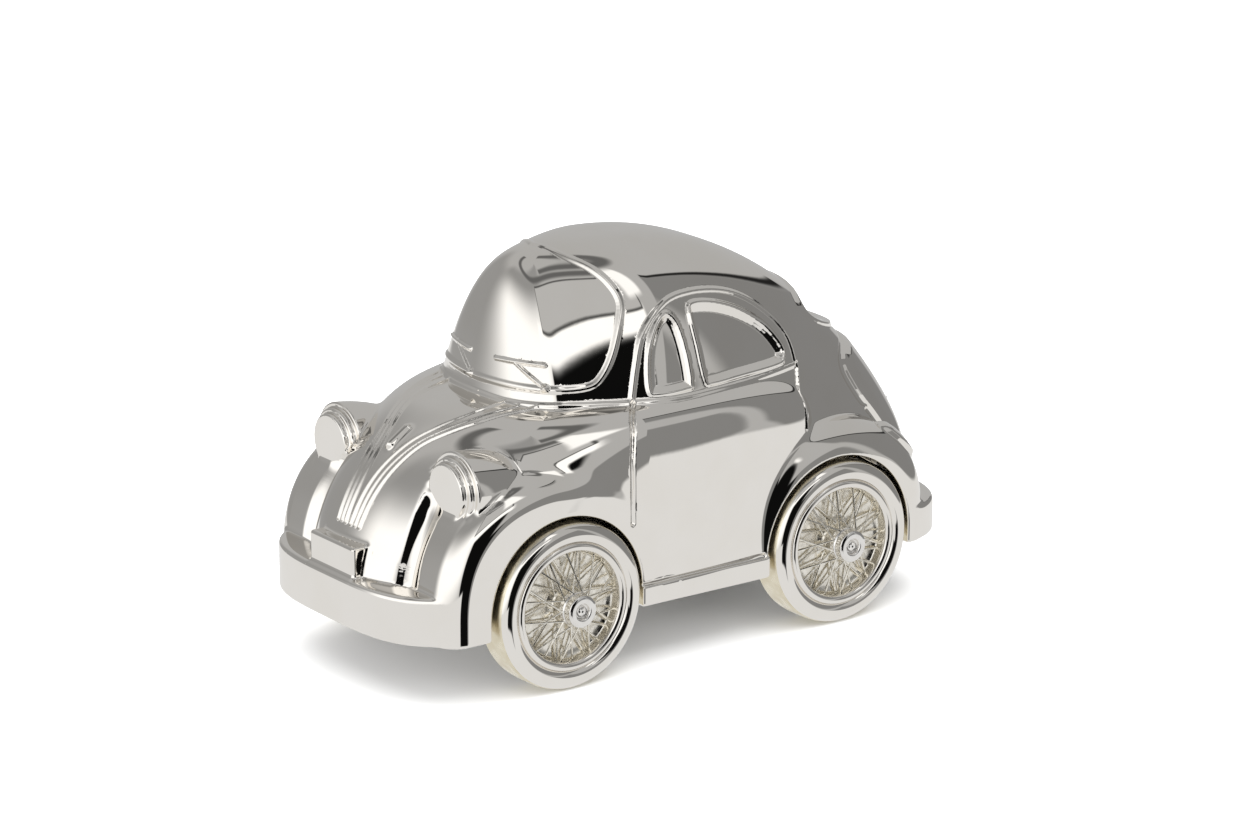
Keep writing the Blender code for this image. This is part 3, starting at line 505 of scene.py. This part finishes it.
TAIL_LAMP = (28.6, 36.5, 2.4, 4.2)      # x, z, half width, half height
TAIL_LAMP_HEIGHT = 1.1


def relief(points, normals):
    """Height of the fine relief at points of the skin; positive stands proud."""
    mirrored = points.copy()
    turned = normals.copy()
    right = points[:, 0] < 0.0
    mirrored[right, 0] *= -1.0
    turned[right, 0] *= -1.0

    def along(corners, reach):
        return line_distance(mirrored, turned, smooth_line(corners), reach)

    height = np.zeros(len(points))
    for line, size, half_width in RIDGES:
        height = np.maximum(height, size * bead(along(line, half_width), half_width))
    for line, depth, half_width in GROOVES:
        height -= depth * bead(along(line, half_width), half_width)
    steep = smooth_step(0.85, 0.5, turned[:, 2])
    valley = along(VALLEY, VALLEY_HALF_WIDTH)
    height -= VALLEY_DEPTH * steep * bead(valley, VALLEY_HALF_WIDTH)

    x, y, z = mirrored.T
    side = (turned[:, 0] > 0.25) & (x > 15.0) & (z > 52.0)
    for outline, depth in SIDE_WINDOWS:
        near = np.where(side & (y > -13.0) & (y < 31.0))[0]
        inside = outline_depth(y[near], z[near], smooth_line(outline, True)[:, :2])
        frame_line = 0.45 * bead(np.abs(inside + 0.4), 0.9)
        height[near] += frame_line - depth * smooth_step(0.0, 1.5, inside)

    tail = np.where((y > 30.0) & (turned[:, 1] > 0.1))[0]
    height[tail] += tail_relief(points[tail, 0], points[tail, 2])
    lamp_x, lamp_z, half_width, half_height = TAIL_LAMP
    lamp = np.hypot((x - lamp_x) / half_width, (z - lamp_z) / half_height)
    lit = (y > 50.0) & (z > 28.0)
    for arm_start, arm_end, blade_start, blade_end in WIPERS:
        for ends, (size, half_width) in (((arm_start, arm_end), WIPER_ARM),
                                         ((blade_start, blade_end), WIPER_BLADE)):
            reach = line_distance(points, normals, np.array(ends, float), half_width)
            rail = bead(reach, half_width)
            height = np.where(rail > 0.0, np.maximum(height, size * rail), height)
        size, radius = WIPER_BOSS
        pivot = np.array((arm_start, arm_start), float)
        height += size * bead(line_distance(points, normals, pivot, radius), radius)
    return height + np.where(lit, TAIL_LAMP_HEIGHT * smooth_step(1.25, 0.85, lamp), 0.0)


def tail_relief(across, up):
    """Relief on the tail: rear window, lid and louvres."""
    inside = outline_depth(across, up, smooth_line(REAR_WINDOW, True)[:, :2])
    window = 0.5 * bead(np.abs(inside + 0.7), 1.1)
    window -= REAR_WINDOW_DEPTH * smooth_step(0.0, 2.4, inside)
    inside = outline_depth(across, up, smooth_line(ENGINE_LID, True)[:, :2])
    lid = LID_HEIGHT * smooth_step(-0.8, 1.4, inside) - 0.5 * bead(np.abs(inside + 1.0), 0.9)
    height = window + lid
    lowest, half_length = LOWEST_LOUVRE
    for row in range(LOUVRES):
        slot = slot_distance(across, up, lowest + LOUVRE_PITCH * row, half_length - 0.6 * row)
        height -= LOUVRE_DEPTH * bead(slot, 0.6)
    return height


def slot_distance(across, up, level, half_length):
    """Distance to a level line through the middle."""
    return np.hypot(np.maximum(np.abs(across) - half_length, 0.0), up - level)


def press_relief(points, normals):
    """Move the skin by its relief and tilt its normals to match."""
    step = 0.05
    helper = np.where(np.abs(normals[:, 2:3]) < 0.9, [[0.0, 0.0, 1.0]], [[1.0, 0.0, 0.0]])
    first = unit(np.cross(normals, helper))
    second = np.cross(normals, first)
    share = smooth_step(0.9, 0.4, np.abs(main_form(*points.T)))
    height = share * relief(points, normals)
    tilted = normals.copy()
    for tangent in (first, second):
        ahead = relief(points + step * tangent, normals)
        behind = relief(points - step * tangent, normals)
        tilted -= tangent * (share * (ahead - behind) / (2 * step))[:, None]
    return points + normals * height[:, None], unit(tilted)


def refine(points, faces, chosen):
    """Split the chosen quads into four, and give their neighbours the new corners.

    Returns all points, all faces, and how many points there were before.
    """
    count = len(points)
    ends = np.stack([faces, np.roll(faces, -1, 1)], 2)
    keys = ends.min(2) * count + ends.max(2)
    split = np.unique(keys[chosen])
    place = np.minimum(np.searchsorted(split, keys), len(split) - 1)
    middle = np.where(split[place] == keys, count + place, -1)
    middles = (points[split // count] + points[split % count]) / 2
    centre = count + len(middles) + np.arange(np.count_nonzero(chosen))
    touched = (middle >= 0).any(1)
    parts = [faces[~touched]]
    for i in range(4):
        before = middle[chosen, (i + 3) % 4]
        parts.append(np.stack([faces[chosen, i], middle[chosen, i], centre, before], 1))
    result = np.concatenate(parts).tolist()
    for face, extra in zip(faces[touched & ~chosen].tolist(), middle[touched & ~chosen].tolist()):
        corners = []
        for vert, added in zip(face, extra):
            corners += [vert] if added < 0 else [vert, added]
        result.append(corners)
    return np.concatenate([points, middles, points[faces[chosen]].mean(1)]), result, count


CELL = 0.44
BEND_LIMIT = 0.35               # quads whose normals differ more than this are split
RELIEF_LIMIT = 0.02             # and so are quads with more relief than this


def make_casting(material):
    cell = CELL
    margin = 3.0
    low = (BODY_LOW.x - margin, BODY_LOW.y - FRAME_MIDDLE - margin, BOTTOM - margin)
    high = (BODY_HIGH.x + margin, BODY_HIGH.y - FRAME_MIDDLE + margin, BODY_HIGH.z + margin)
    points, faces = surface_net(casting, low, high, cell)
    points, normals = settle(casting, points, cell)
    skin = main_form(*points.T) > -0.5
    height = np.zeros(len(points))
    height[skin] = relief(points[skin], normals[skin])
    bent = np.ptp(normals[faces], axis=1).max(1) > BEND_LIMIT
    pressed = np.ptp(height[faces], axis=1) > RELIEF_LIMIT
    chosen = skin[faces].all(1) & (bent | pressed)
    points, faces, first = refine(points, faces, chosen)
    added, added_normals = settle(casting, points[first:], cell / 2)
    points[first:] = added
    normals = np.concatenate([normals, added_normals])
    outer = np.where(main_form(*points.T) > -0.5)[0]
    points[outer], normals[outer] = press_relief(points[outer], normals[outer])
    points[:, 1] += FRAME_MIDDLE
    piece = mesh_piece("polished_casting", points, faces, normals)
    piece.data.materials.append(material)
    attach(piece, "chassis")
    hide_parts("body_shell")


# ---- Wheels -------------------------------------------------------------------------------
RIM_RADIUS = 14.0
RIM_FACE_X = TYRE_OUTER_X
SPOKE_RADIUS = 11.8
HUB_FACE_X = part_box("hub_cap_front_left")[1].x / MM
HUB_RADIUS = 3.5
# Half of the tyre's section: depth behind its face, and radius
TYRE_SECTION = ((2.2, 13.4), (0.75, 13.9), (0.12, 14.7), (0.0, 15.7), (0.3, 16.9), (1.1, 17.8),
                (2.5, WHEEL_RADIUS - 0.03))
DISH_RIM_X = RIM_FACE_X - 2.6
DISH_HUB_X = RIM_FACE_X - 3.0
SPOKES_PER_LAYER = 20
SPOKE_THICKNESS = 0.44
#                hub end: x, radius; rim end: x; lean along the rim in degrees
SPOKE_LAYERS = ((HUB_FACE_X - 2.3, 3.2, RIM_FACE_X - 1.9, 34.0),
                (RIM_FACE_X - 2.2, 4.4, RIM_FACE_X - 2.3, 24.0))
SLOT_TURN = {-1: Matrix.Rotation(math.radians(-45.0), 3, "X"),
             1: Matrix.Rotation(math.radians(45.0), 3, "X")}
WHEEL_TURN = {"front_left": 0.1, "front_right": 0.5, "rear_left": 0.35, "rear_right": 0.8}


def mesh_piece(name, points, faces, normals):
    """A mesh object from points in millimetres and the normals at them."""
    mesh = bpy.data.meshes.new(name)
    mesh.from_pydata((points * MM).tolist(), [], faces)
    mesh.shade_smooth()
    mesh.normals_split_custom_set_from_vertices(normals.tolist())
    piece = bpy.data.objects.new(name, mesh)
    bpy.context.scene.collection.objects.link(piece)
    return piece


def rounded_profile(corners, radius, steps=4):
    """Corner points of a profile with each inner corner rounded off."""
    result = [corners[0]]
    for before, here, after in zip(corners[:-2], corners[1:-1], corners[2:]):
        here = np.array(here, float)
        back, on = np.array(before) - here, np.array(after) - here
        room = min(radius, 0.45 * np.linalg.norm(back), 0.45 * np.linalg.norm(on))
        start = here + back / np.linalg.norm(back) * room
        end = here + on / np.linalg.norm(on) * room
        for t in np.arange(steps + 1) / steps:
            result.append(tuple((1 - t) ** 2 * start + 2 * t * (1 - t) * here + t ** 2 * end))
    result.append(corners[-1])
    return result


def turned_piece(bm, profile, steps, closed=False):
    """Add a surface of revolution about X; the profile gives (x, radius) points."""
    rings = []
    for x, radius in profile:
        if radius < 1e-6:
            rings.append([bm.verts.new((x, 0.0, 0.0))] * steps)
            continue
        turns = [2 * math.pi * i / steps for i in range(steps)]
        rings.append([bm.verts.new((x, radius * math.sin(a), radius * math.cos(a))) for a in turns])
    pairs = list(zip(rings[:-1], rings[1:]))
    if closed:
        pairs.append((rings[-1], rings[0]))
    for first, second in pairs:
        for i in range(steps):
            j = (i + 1) % steps
            corners = []
            for vert in (first[i], first[j], second[j], second[i]):
                if vert not in corners:
                    corners.append(vert)
            if len(corners) > 2:
                bm.faces.new(corners)


WIRE_SIDES = 8


def add_wire(bm, start, end, radius):
    """Add one round wire with closed ends between two points."""
    axis = (end - start).normalized()
    across = axis.orthogonal().normalized()
    other = axis.cross(across)
    rings = []
    for centre, size in ((start, radius), ((start + end) / 2, radius * 0.92), (end, radius * 1.25)):
        turns = [2 * math.pi * i / WIRE_SIDES for i in range(WIRE_SIDES)]
        rings.append([bm.verts.new(centre + size * (across * math.cos(a) + other * math.sin(a)))
                      for a in turns])
    for first, second in zip(rings[:-1], rings[1:]):
        for i in range(WIRE_SIDES):
            j = (i + 1) % WIRE_SIDES
            bm.faces.new((first[i], first[j], second[j], second[i]))
    bm.faces.new(rings[0][::-1])
    bm.faces.new(rings[-1])


def finish_wheel_piece(bm, name, sharp_degrees):
    """Turn the mesh under construction into a mesh datablock in metres."""
    bmesh.ops.scale(bm, vec=(MM, MM, MM), verts=bm.verts)
    bmesh.ops.recalc_face_normals(bm, faces=bm.faces)
    mesh = bpy.data.meshes.new(name)
    bm.to_mesh(mesh)
    bm.free()
    mesh.shade_smooth()
    mesh.set_sharp_from_angle(angle=math.radians(sharp_degrees))
    return mesh


def tyre_mesh():
    half = [(TYRE_OUTER_X - depth, radius) for depth, radius in TYRE_SECTION]
    width = TYRE_OUTER_X + TYRE_INNER_X
    outline = half + [(width - x, radius) for x, radius in half[::-1]]
    bm = bmesh.new()
    turned_piece(bm, smooth_line(outline, True, 4)[:-1], 128, closed=True)
    for face in bm.faces:
        centre = face.calc_center_median()
        if math.hypot(centre.y, centre.z) > WHEEL_RADIUS - 0.35:
            face.material_index = 1
    return finish_wheel_piece(bm, "tyre", 60)


def spoked_mesh():
    """Rim ring, backing dish, and two crossing layers of wires laid over it."""
    bm = bmesh.new()
    rim = [(TYRE_INNER_X + 1.2, RIM_RADIUS - 0.6), (RIM_FACE_X - 1.4, RIM_RADIUS - 0.1),
           (RIM_FACE_X - 0.35, RIM_RADIUS - 0.15), (RIM_FACE_X - 0.1, RIM_RADIUS - 0.8),
           (RIM_FACE_X - 0.25, SPOKE_RADIUS + 0.55), (RIM_FACE_X - 1.0, SPOKE_RADIUS + 0.15),
           (DISH_RIM_X, SPOKE_RADIUS - 0.1), (DISH_RIM_X - 0.35, SPOKE_RADIUS - 1.2),
           (DISH_HUB_X, 5.2), (DISH_HUB_X + 0.5, 3.9), (DISH_HUB_X + 2.6, 3.3),
           (HUB_FACE_X - 3.4, 3.0), (HUB_FACE_X - 3.4, 1.6), (TYRE_INNER_X + 1.2, 1.6)]
    turned_piece(bm, rounded_profile(rim, 0.5), 96, closed=True)
    for layer, (hub_x, hub_radius, rim_x, lean) in enumerate(SPOKE_LAYERS):
        for i in range(SPOKES_PER_LAYER):
            side = 1 if i % 2 else -1
            turn = 2 * math.pi * (i + 0.5 * layer) / SPOKES_PER_LAYER
            end_turn = turn + side * math.radians(lean)
            start = Vector((hub_x, hub_radius * math.sin(turn), hub_radius * math.cos(turn)))
            end = Vector((rim_x, (SPOKE_RADIUS + 0.1) * math.sin(end_turn),
                          (SPOKE_RADIUS + 0.1) * math.cos(end_turn)))
            add_wire(bm, start, end, SPOKE_THICKNESS / 2)
    for face in bm.faces:
        centre = face.calc_center_median()
        if math.hypot(centre.y, centre.z) > SPOKE_RADIUS + 0.2:
            face.material_index = 1
    return finish_wheel_piece(bm, "spoked_wheel", 40)


def nave_mesh():
    """Hub cap: turned face with a sunk middle that holds a slotted screw."""
    bm = bmesh.new()
    face = [(HUB_FACE_X - 3.6, 1.7), (HUB_FACE_X - 3.6, HUB_RADIUS + 0.25),
            (HUB_FACE_X - 2.4, HUB_RADIUS + 0.25), (HUB_FACE_X - 2.0, HUB_RADIUS - 0.05),
            (HUB_FACE_X - 0.25, HUB_RADIUS), (HUB_FACE_X, HUB_RADIUS - 0.6), (HUB_FACE_X, 1.95),
            (HUB_FACE_X - 0.25, 1.7), (HUB_FACE_X - 0.9, 1.6), (HUB_FACE_X - 0.95, 1.25),
            (HUB_FACE_X - 0.55, 1.0), (HUB_FACE_X - 0.42, 0.0)]
    turned_piece(bm, rounded_profile(face, 0.2, 3), 64)
    for sense in (-1, 1):
        slot = bmesh.ops.create_cube(bm, size=1.0)["verts"]
        bmesh.ops.scale(bm, vec=(0.3, 0.42, 1.7), verts=slot)
        bmesh.ops.rotate(bm, verts=slot, cent=(0, 0, 0), matrix=SLOT_TURN[sense])
        bmesh.ops.translate(bm, verts=slot, vec=(HUB_FACE_X - 0.5, 0.0, 0.0))
    return finish_wheel_piece(bm, "nave", 40)


def make_wheels(materials):
    """Four wheels from three meshes; each piece rides with its axle."""
    kinds = (("tyre", tyre_mesh(), ("polished", "tread"), "polished_plate"),
             ("wire_wheel", spoked_mesh(), ("satin", "polished"), "satin_plate"),
             ("hub_cap", nave_mesh(), ("hub",), "polished_plate"))
    for kind, mesh, finish_names, slot in kinds:
        for finish in finish_names:
            mesh.materials.append(materials[finish])
        for corner, spin in WHEEL_TURN.items():
            turned = mesh.copy()
            turned.transform(Matrix.Rotation(spin, 4, "X"))
            piece = bpy.data.objects.new("fine_%s_%s" % (kind, corner), turned)
            bpy.context.scene.collection.objects.link(piece)
            end, side = corner.split("_")
            axle_y = FRONT_AXLE if end == "front" else REAR_AXLE
            piece.location = (0.0, (axle_y + FRAME_MIDDLE) * MM, AXLE_Z * MM)
            piece.rotation_euler = (0.0, 0.0, 0.0 if side == "left" else math.pi)
            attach(piece, end + "_axle_set")
            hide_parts("%s_%s" % (kind, corner))


# ---- Materials ----------------------------------------------------------------------------
class Nodes:
    """Small helper that adds shader nodes to a tree and links them."""

    def __init__(self, tree):
        self.tree = tree

    def add(self, kind, **values):
        node = self.tree.nodes.new(kind)
        for name, value in values.items():
            setattr(node, name, value)
        return node

    def link(self, output, node, socket):
        self.tree.links.new(output, node.inputs[socket])

    def math(self, operation, first, second=0.0, third=0.0):
        node = self.add("ShaderNodeMath", operation=operation)
        for i, value in enumerate((first, second, third)):
            if isinstance(value, (int, float)):
                node.inputs[i].default_value = value
            else:
                self.link(value, node, i)
        return node.outputs[0]

    def spread(self, value, low, high, to_low=0.0, to_high=1.0):
        """Smooth step from one range of values to another."""
        node = self.add("ShaderNodeMapRange", interpolation_type="SMOOTHSTEP")
        self.link(value, node, "Value")
        for name, number in (("From Min", low), ("From Max", high),
                             ("To Min", to_low), ("To Max", to_high)):
            node.inputs[name].default_value = number
        return node.outputs["Result"]

    def noise(self, where, scale, detail, stretch=(1.0, 1.0, 1.0)):
        mapping = self.add("ShaderNodeMapping")
        mapping.inputs["Scale"].default_value = stretch
        self.link(where, mapping, "Vector")
        node = self.add("ShaderNodeTexNoise")
        node.inputs["Scale"].default_value = scale
        node.inputs["Detail"].default_value = detail
        self.link(mapping.outputs[0], node, "Vector")
        return node.outputs["Fac"]

    def blend(self, factor, first, second):
        node = self.add("ShaderNodeMix", data_type="RGBA")
        for socket, value in ((0, factor), (6, first), (7, second)):
            if isinstance(value, tuple):
                node.inputs[socket].default_value = (*value, 1.0)
            elif isinstance(value, (int, float)):
                node.inputs[socket].default_value = value
            else:
                self.link(value, node, socket)
        return node.outputs[2]


def surface(name, colours, metallic, roughness, grain, bumps):
    """Principled material: two mottled colours, uneven roughness and layers of fine relief.

    grain is (scale, stretch) of the mottling; bumps are (scale, height in metres, stretch).
    """
    material = bpy.data.materials.new(name)
    material.use_nodes = True
    shader = material.node_tree.nodes["Principled BSDF"]
    nodes = Nodes(material.node_tree)
    where = nodes.add("ShaderNodeTexCoord").outputs["Object"]
    mottle = nodes.noise(where, grain[0], 3.0, grain[1])
    nodes.link(nodes.blend(nodes.spread(mottle, 0.3, 0.7), *colours), shader, "Base Color")
    nodes.link(nodes.spread(mottle, 0.3, 0.7, *roughness), shader, "Roughness")
    shader.inputs["Metallic"].default_value = metallic
    normal = None
    for scale, height, stretch in bumps:
        bump = nodes.add("ShaderNodeBump")
        bump.inputs["Strength"].default_value = 1.0
        bump.inputs["Distance"].default_value = height
        nodes.link(nodes.noise(where, scale, 1.0, stretch), bump, "Height")
        if normal is not None:
            nodes.link(normal, bump, "Normal")
        normal = bump.outputs["Normal"]
    nodes.link(normal, shader, "Normal")
    return material


EVEN = (1.0, 1.0, 1.0)


def make_materials():
    return {
        "polished": surface("polished_plate", ((0.88, 0.853, 0.81), (0.865, 0.835, 0.785)), 1.0,
                            (0.0, 0.03), (90.0, EVEN),
                            ((70.0, 0.00003, EVEN), (420.0, 0.000002, EVEN))),
        "satin": surface("satin_plate", ((0.92, 0.89, 0.82), (0.87, 0.83, 0.74)), 1.0,
                         (0.16, 0.28), (900.0, EVEN), ((1100.0, 0.00003, EVEN),)),
        "tread": surface("unpolished_plate", ((0.86, 0.8, 0.64), (0.8, 0.73, 0.56)), 1.0,
                         (0.25, 0.4), (400.0, EVEN), ((900.0, 0.00002, EVEN),)),
        "hub": surface("hub_plate", ((0.87, 0.855, 0.83), (0.83, 0.81, 0.78)), 1.0,
                       (0.05, 0.12), (500.0, EVEN), ((900.0, 0.00001, EVEN),)),
        "zinc": surface("zinc_sheet", ((0.66, 0.65, 0.62), (0.55, 0.54, 0.52)), 1.0,
                        (0.28, 0.45), (160.0, (1.0, 0.04, 1.0)),
                        ((2200.0, 0.00002, (1.0, 0.03, 1.0)),)),
        "steel": surface("drawn_steel", ((0.62, 0.61, 0.60), (0.5, 0.5, 0.5)), 1.0,
                         (0.2, 0.34), (900.0, (0.05, 1.0, 1.0)),
                         ((2600.0, 0.000012, (0.05, 1.0, 1.0)),)),
        "brass": surface("stamped_brass", ((0.83, 0.64, 0.31), (0.72, 0.53, 0.24)), 1.0,
                         (0.2, 0.36), (500.0, EVEN), ((2000.0, 0.00001, EVEN),)),
        "plastic": surface("motor_plastic", ((0.03, 0.03, 0.033), (0.018, 0.018, 0.02)), 0.0,
                           (0.42, 0.58), (700.0, EVEN), ((5200.0, 0.00002, EVEN),)),
    }


NODE_FINISHES = (("base_plate", "zinc"), ("base_screw", "steel"), ("bracket", "brass"),
                 ("motor_case", "plastic"), ("arbor", "steel"), ("shaft", "steel"),
                 ("axle_pinion", "brass"), ("idler_", "brass"), ("barrel_gear", "brass"),
                 ("drum", "brass"), ("mainspring", "steel"), ("_axle", "steel"))


def finish_frame_nodes(materials):
    """Give each node that stays visible its finished material."""
    for name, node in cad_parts.items():
        for part, finish in NODE_FINISHES:
            if part in name:
                node.data.materials.clear()
                node.data.materials.append(materials[finish])
                break


# ---- Studio -------------------------------------------------------------------------------
def make_sky():
    """Surroundings that only reflections see: walls, a window, a doorway and a table."""
    world = bpy.data.worlds.new("studio")
    bpy.context.scene.world = world
    world.use_nodes = True
    nodes = Nodes(world.node_tree)
    background = world.node_tree.nodes["Background"]
    direction = nodes.add("ShaderNodeTexCoord").outputs["Generated"]
    parts = nodes.add("ShaderNodeSeparateXYZ")
    nodes.link(direction, parts, 0)
    x, y, z = parts.outputs
    height = nodes.math("MULTIPLY", nodes.math("ARCSINE", z), 180.0 / math.pi)
    grey = ROOM_GREY
    for azimuth, elevation, half_width, half_height, soft, slope, tone in CARDS:
        a = math.radians(azimuth)
        sine = nodes.math("ADD", nodes.math("MULTIPLY", x, math.cos(a)),
                          nodes.math("MULTIPLY", y, math.sin(a)))
        cosine = nodes.math("SUBTRACT", nodes.math("MULTIPLY", x, math.sin(a)),
                            nodes.math("MULTIPLY", y, math.cos(a)))
        turn = nodes.math("MULTIPLY", nodes.math("ARCTAN2", sine, cosine), 180.0 / math.pi)
        side = nodes.spread(nodes.math("ABSOLUTE", turn), half_width - soft, half_width + soft,
                            1.0, 0.0)
        middle = nodes.math("ADD", nodes.math("MULTIPLY", turn, slope), elevation)
        rise = nodes.math("ABSOLUTE", nodes.math("SUBTRACT", height, middle))
        level = nodes.spread(rise, half_height - soft, half_height + soft, 1.0, 0.0)
        share = nodes.math("MULTIPLY", side, level)
        change = nodes.math("SUBTRACT", tone, grey)
        grey = nodes.math("ADD", grey, nodes.math("MULTIPLY", share, change))
    bright = nodes.math("DIVIDE", nodes.math("POWER", grey, DISPLAY_GAMMA), PLATE_BRIGHTNESS)
    path = nodes.add("ShaderNodeLightPath").outputs
    seen = path["Is Camera Ray"]
    nodes.link(nodes.blend(seen, bright, (BACKDROP,) * 3), background, "Color")
    strength = nodes.math("MULTIPLY_ADD", path["Is Diffuse Ray"], FLOOR_FILL, 1.0)
    nodes.link(strength, background, "Strength")


BACKDROP = 1.0
DISPLAY_GAMMA = 2.2
PLATE_BRIGHTNESS = 0.86         # share of the light that the plate reflects
FLOOR_FILL = 1.6                # how much more light the surroundings give the floor
# The surroundings, as the greys that the polished metal shows of them.
ROOM_GREY = 0.67
# azimuth and elevation in degrees, half width, half height, softness, slope, grey
CARDS = ((171.6, 2.0, 36.0, 29.0, 2.0, -0.62, 0.49),     # wall at the right
         (171.6, 32.0, 34.0, 1.3, 1.0, -0.62, 0.15),     # its top edge
         (-64.4, 12.0, 36.0, 26.0, 12.0, 0.0, 0.57),     # wall at the left
         (13.6, 52.0, 60.0, 22.0, 9.0, 0.35, 0.56),      # ceiling above the window
         (3.6, 68.0, 100.0, 3.0, 2.0, 0.0, 0.38),
         (13.6, 12.0, 54.0, 27.0, 17.0, 0.2, 1.03),      # big soft window
         (75.6, 32.0, 32.0, 6.0, 2.5, 0.0, 1.03),         # bright strip
         (81.6, 49.0, 25.3, 13.3, 0.8, 0.0, 0.3),        # panel and its dark edge
         (81.6, 49.0, 24.0, 12.0, 0.8, 0.0, 0.7),
         (106.6, 57.0, 10.0, 13.0, 3.0, 0.0, 1.0),
         (84.6, 3.0, 19.0, 23.0, 2.0, 0.0, 0.08),        # dark doorway
         (53.6, -50.0, 200.0, 40.5, 1.0, 0.0, 0.85),     # table
         (118.1, -3.0, 12.0, 14.0, 1.2, 0.8, 0.5),       # its corner
         (94.6, -10.0, 16.0, 12.0, 1.5, 0.0, 0.08),
         (153.6, 76.0, 75.0, 3.0, 2.0, 0.0, 0.38))
FLOOR_HALF_SIZE = 3.0
LAMP_SIZE = 2.4
LAMP_HEIGHT = 1.5
LAMP_POWER = 42.0
CAMERA_TARGET = (0.0044, FRAME_MIDDLE * MM, 0.0458)
CAMERA_AZIMUTH = 53.57
CAMERA_ELEVATION = 17.0
CAMERA_DISTANCE = 1.078
CAMERA_LENS = 144.1


def make_floor():
    bm = bmesh.new()
    bmesh.ops.create_grid(bm, x_segments=8, y_segments=8, size=FLOOR_HALF_SIZE)
    mesh = bpy.data.meshes.new("floor")
    bm.to_mesh(mesh)
    bm.free()
    floor = bpy.data.objects.new("floor", mesh)
    bpy.context.scene.collection.objects.link(floor)
    material = bpy.data.materials.new("pale_floor")
    material.use_nodes = True
    shader = material.node_tree.nodes["Principled BSDF"]
    nodes = Nodes(material.node_tree)
    where = nodes.add("ShaderNodeTexCoord").outputs["Object"]
    mottle = nodes.noise(where, 30.0, 2.0)
    nodes.link(nodes.blend(mottle, (0.9, 0.9, 0.9), (0.92, 0.92, 0.915)), shader, "Base Color")
    shader.inputs["Roughness"].default_value = 0.9
    shader.inputs["Specular IOR Level"].default_value = 0.0
    mesh.materials.append(material)
    floor.visible_glossy = False


def make_light():
    """A broad overhead light; the metal itself shows only the surroundings."""
    data = bpy.data.lights.new("overhead", "AREA")
    data.shape = "SQUARE"
    data.size = LAMP_SIZE
    data.energy = LAMP_POWER
    lamp = bpy.data.objects.new("overhead", data)
    bpy.context.scene.collection.objects.link(lamp)
    lamp.location = (0.0, 0.0, LAMP_HEIGHT)
    lamp.visible_glossy = False


def make_camera():
    data = bpy.data.cameras.new("camera")
    data.lens = CAMERA_LENS
    data.clip_end = 20.0
    camera = bpy.data.objects.new("camera", data)
    bpy.context.scene.collection.objects.link(camera)
    a, e = math.radians(CAMERA_AZIMUTH), math.radians(CAMERA_ELEVATION)
    back = Vector((math.sin(a) * math.cos(e), -math.cos(a) * math.cos(e), math.sin(e)))
    camera.location = Vector(CAMERA_TARGET) + CAMERA_DISTANCE * back
    camera.rotation_euler = (math.pi / 2 - e, 0.0, a)
    bpy.context.scene.camera = camera


finishes = make_materials()
make_casting(finishes["polished"])
make_wheels(finishes)
finish_frame_nodes(finishes)
make_sky()
make_floor()
make_light()
make_camera()
bpy.context.scene.view_settings.view_transform = "Standard"
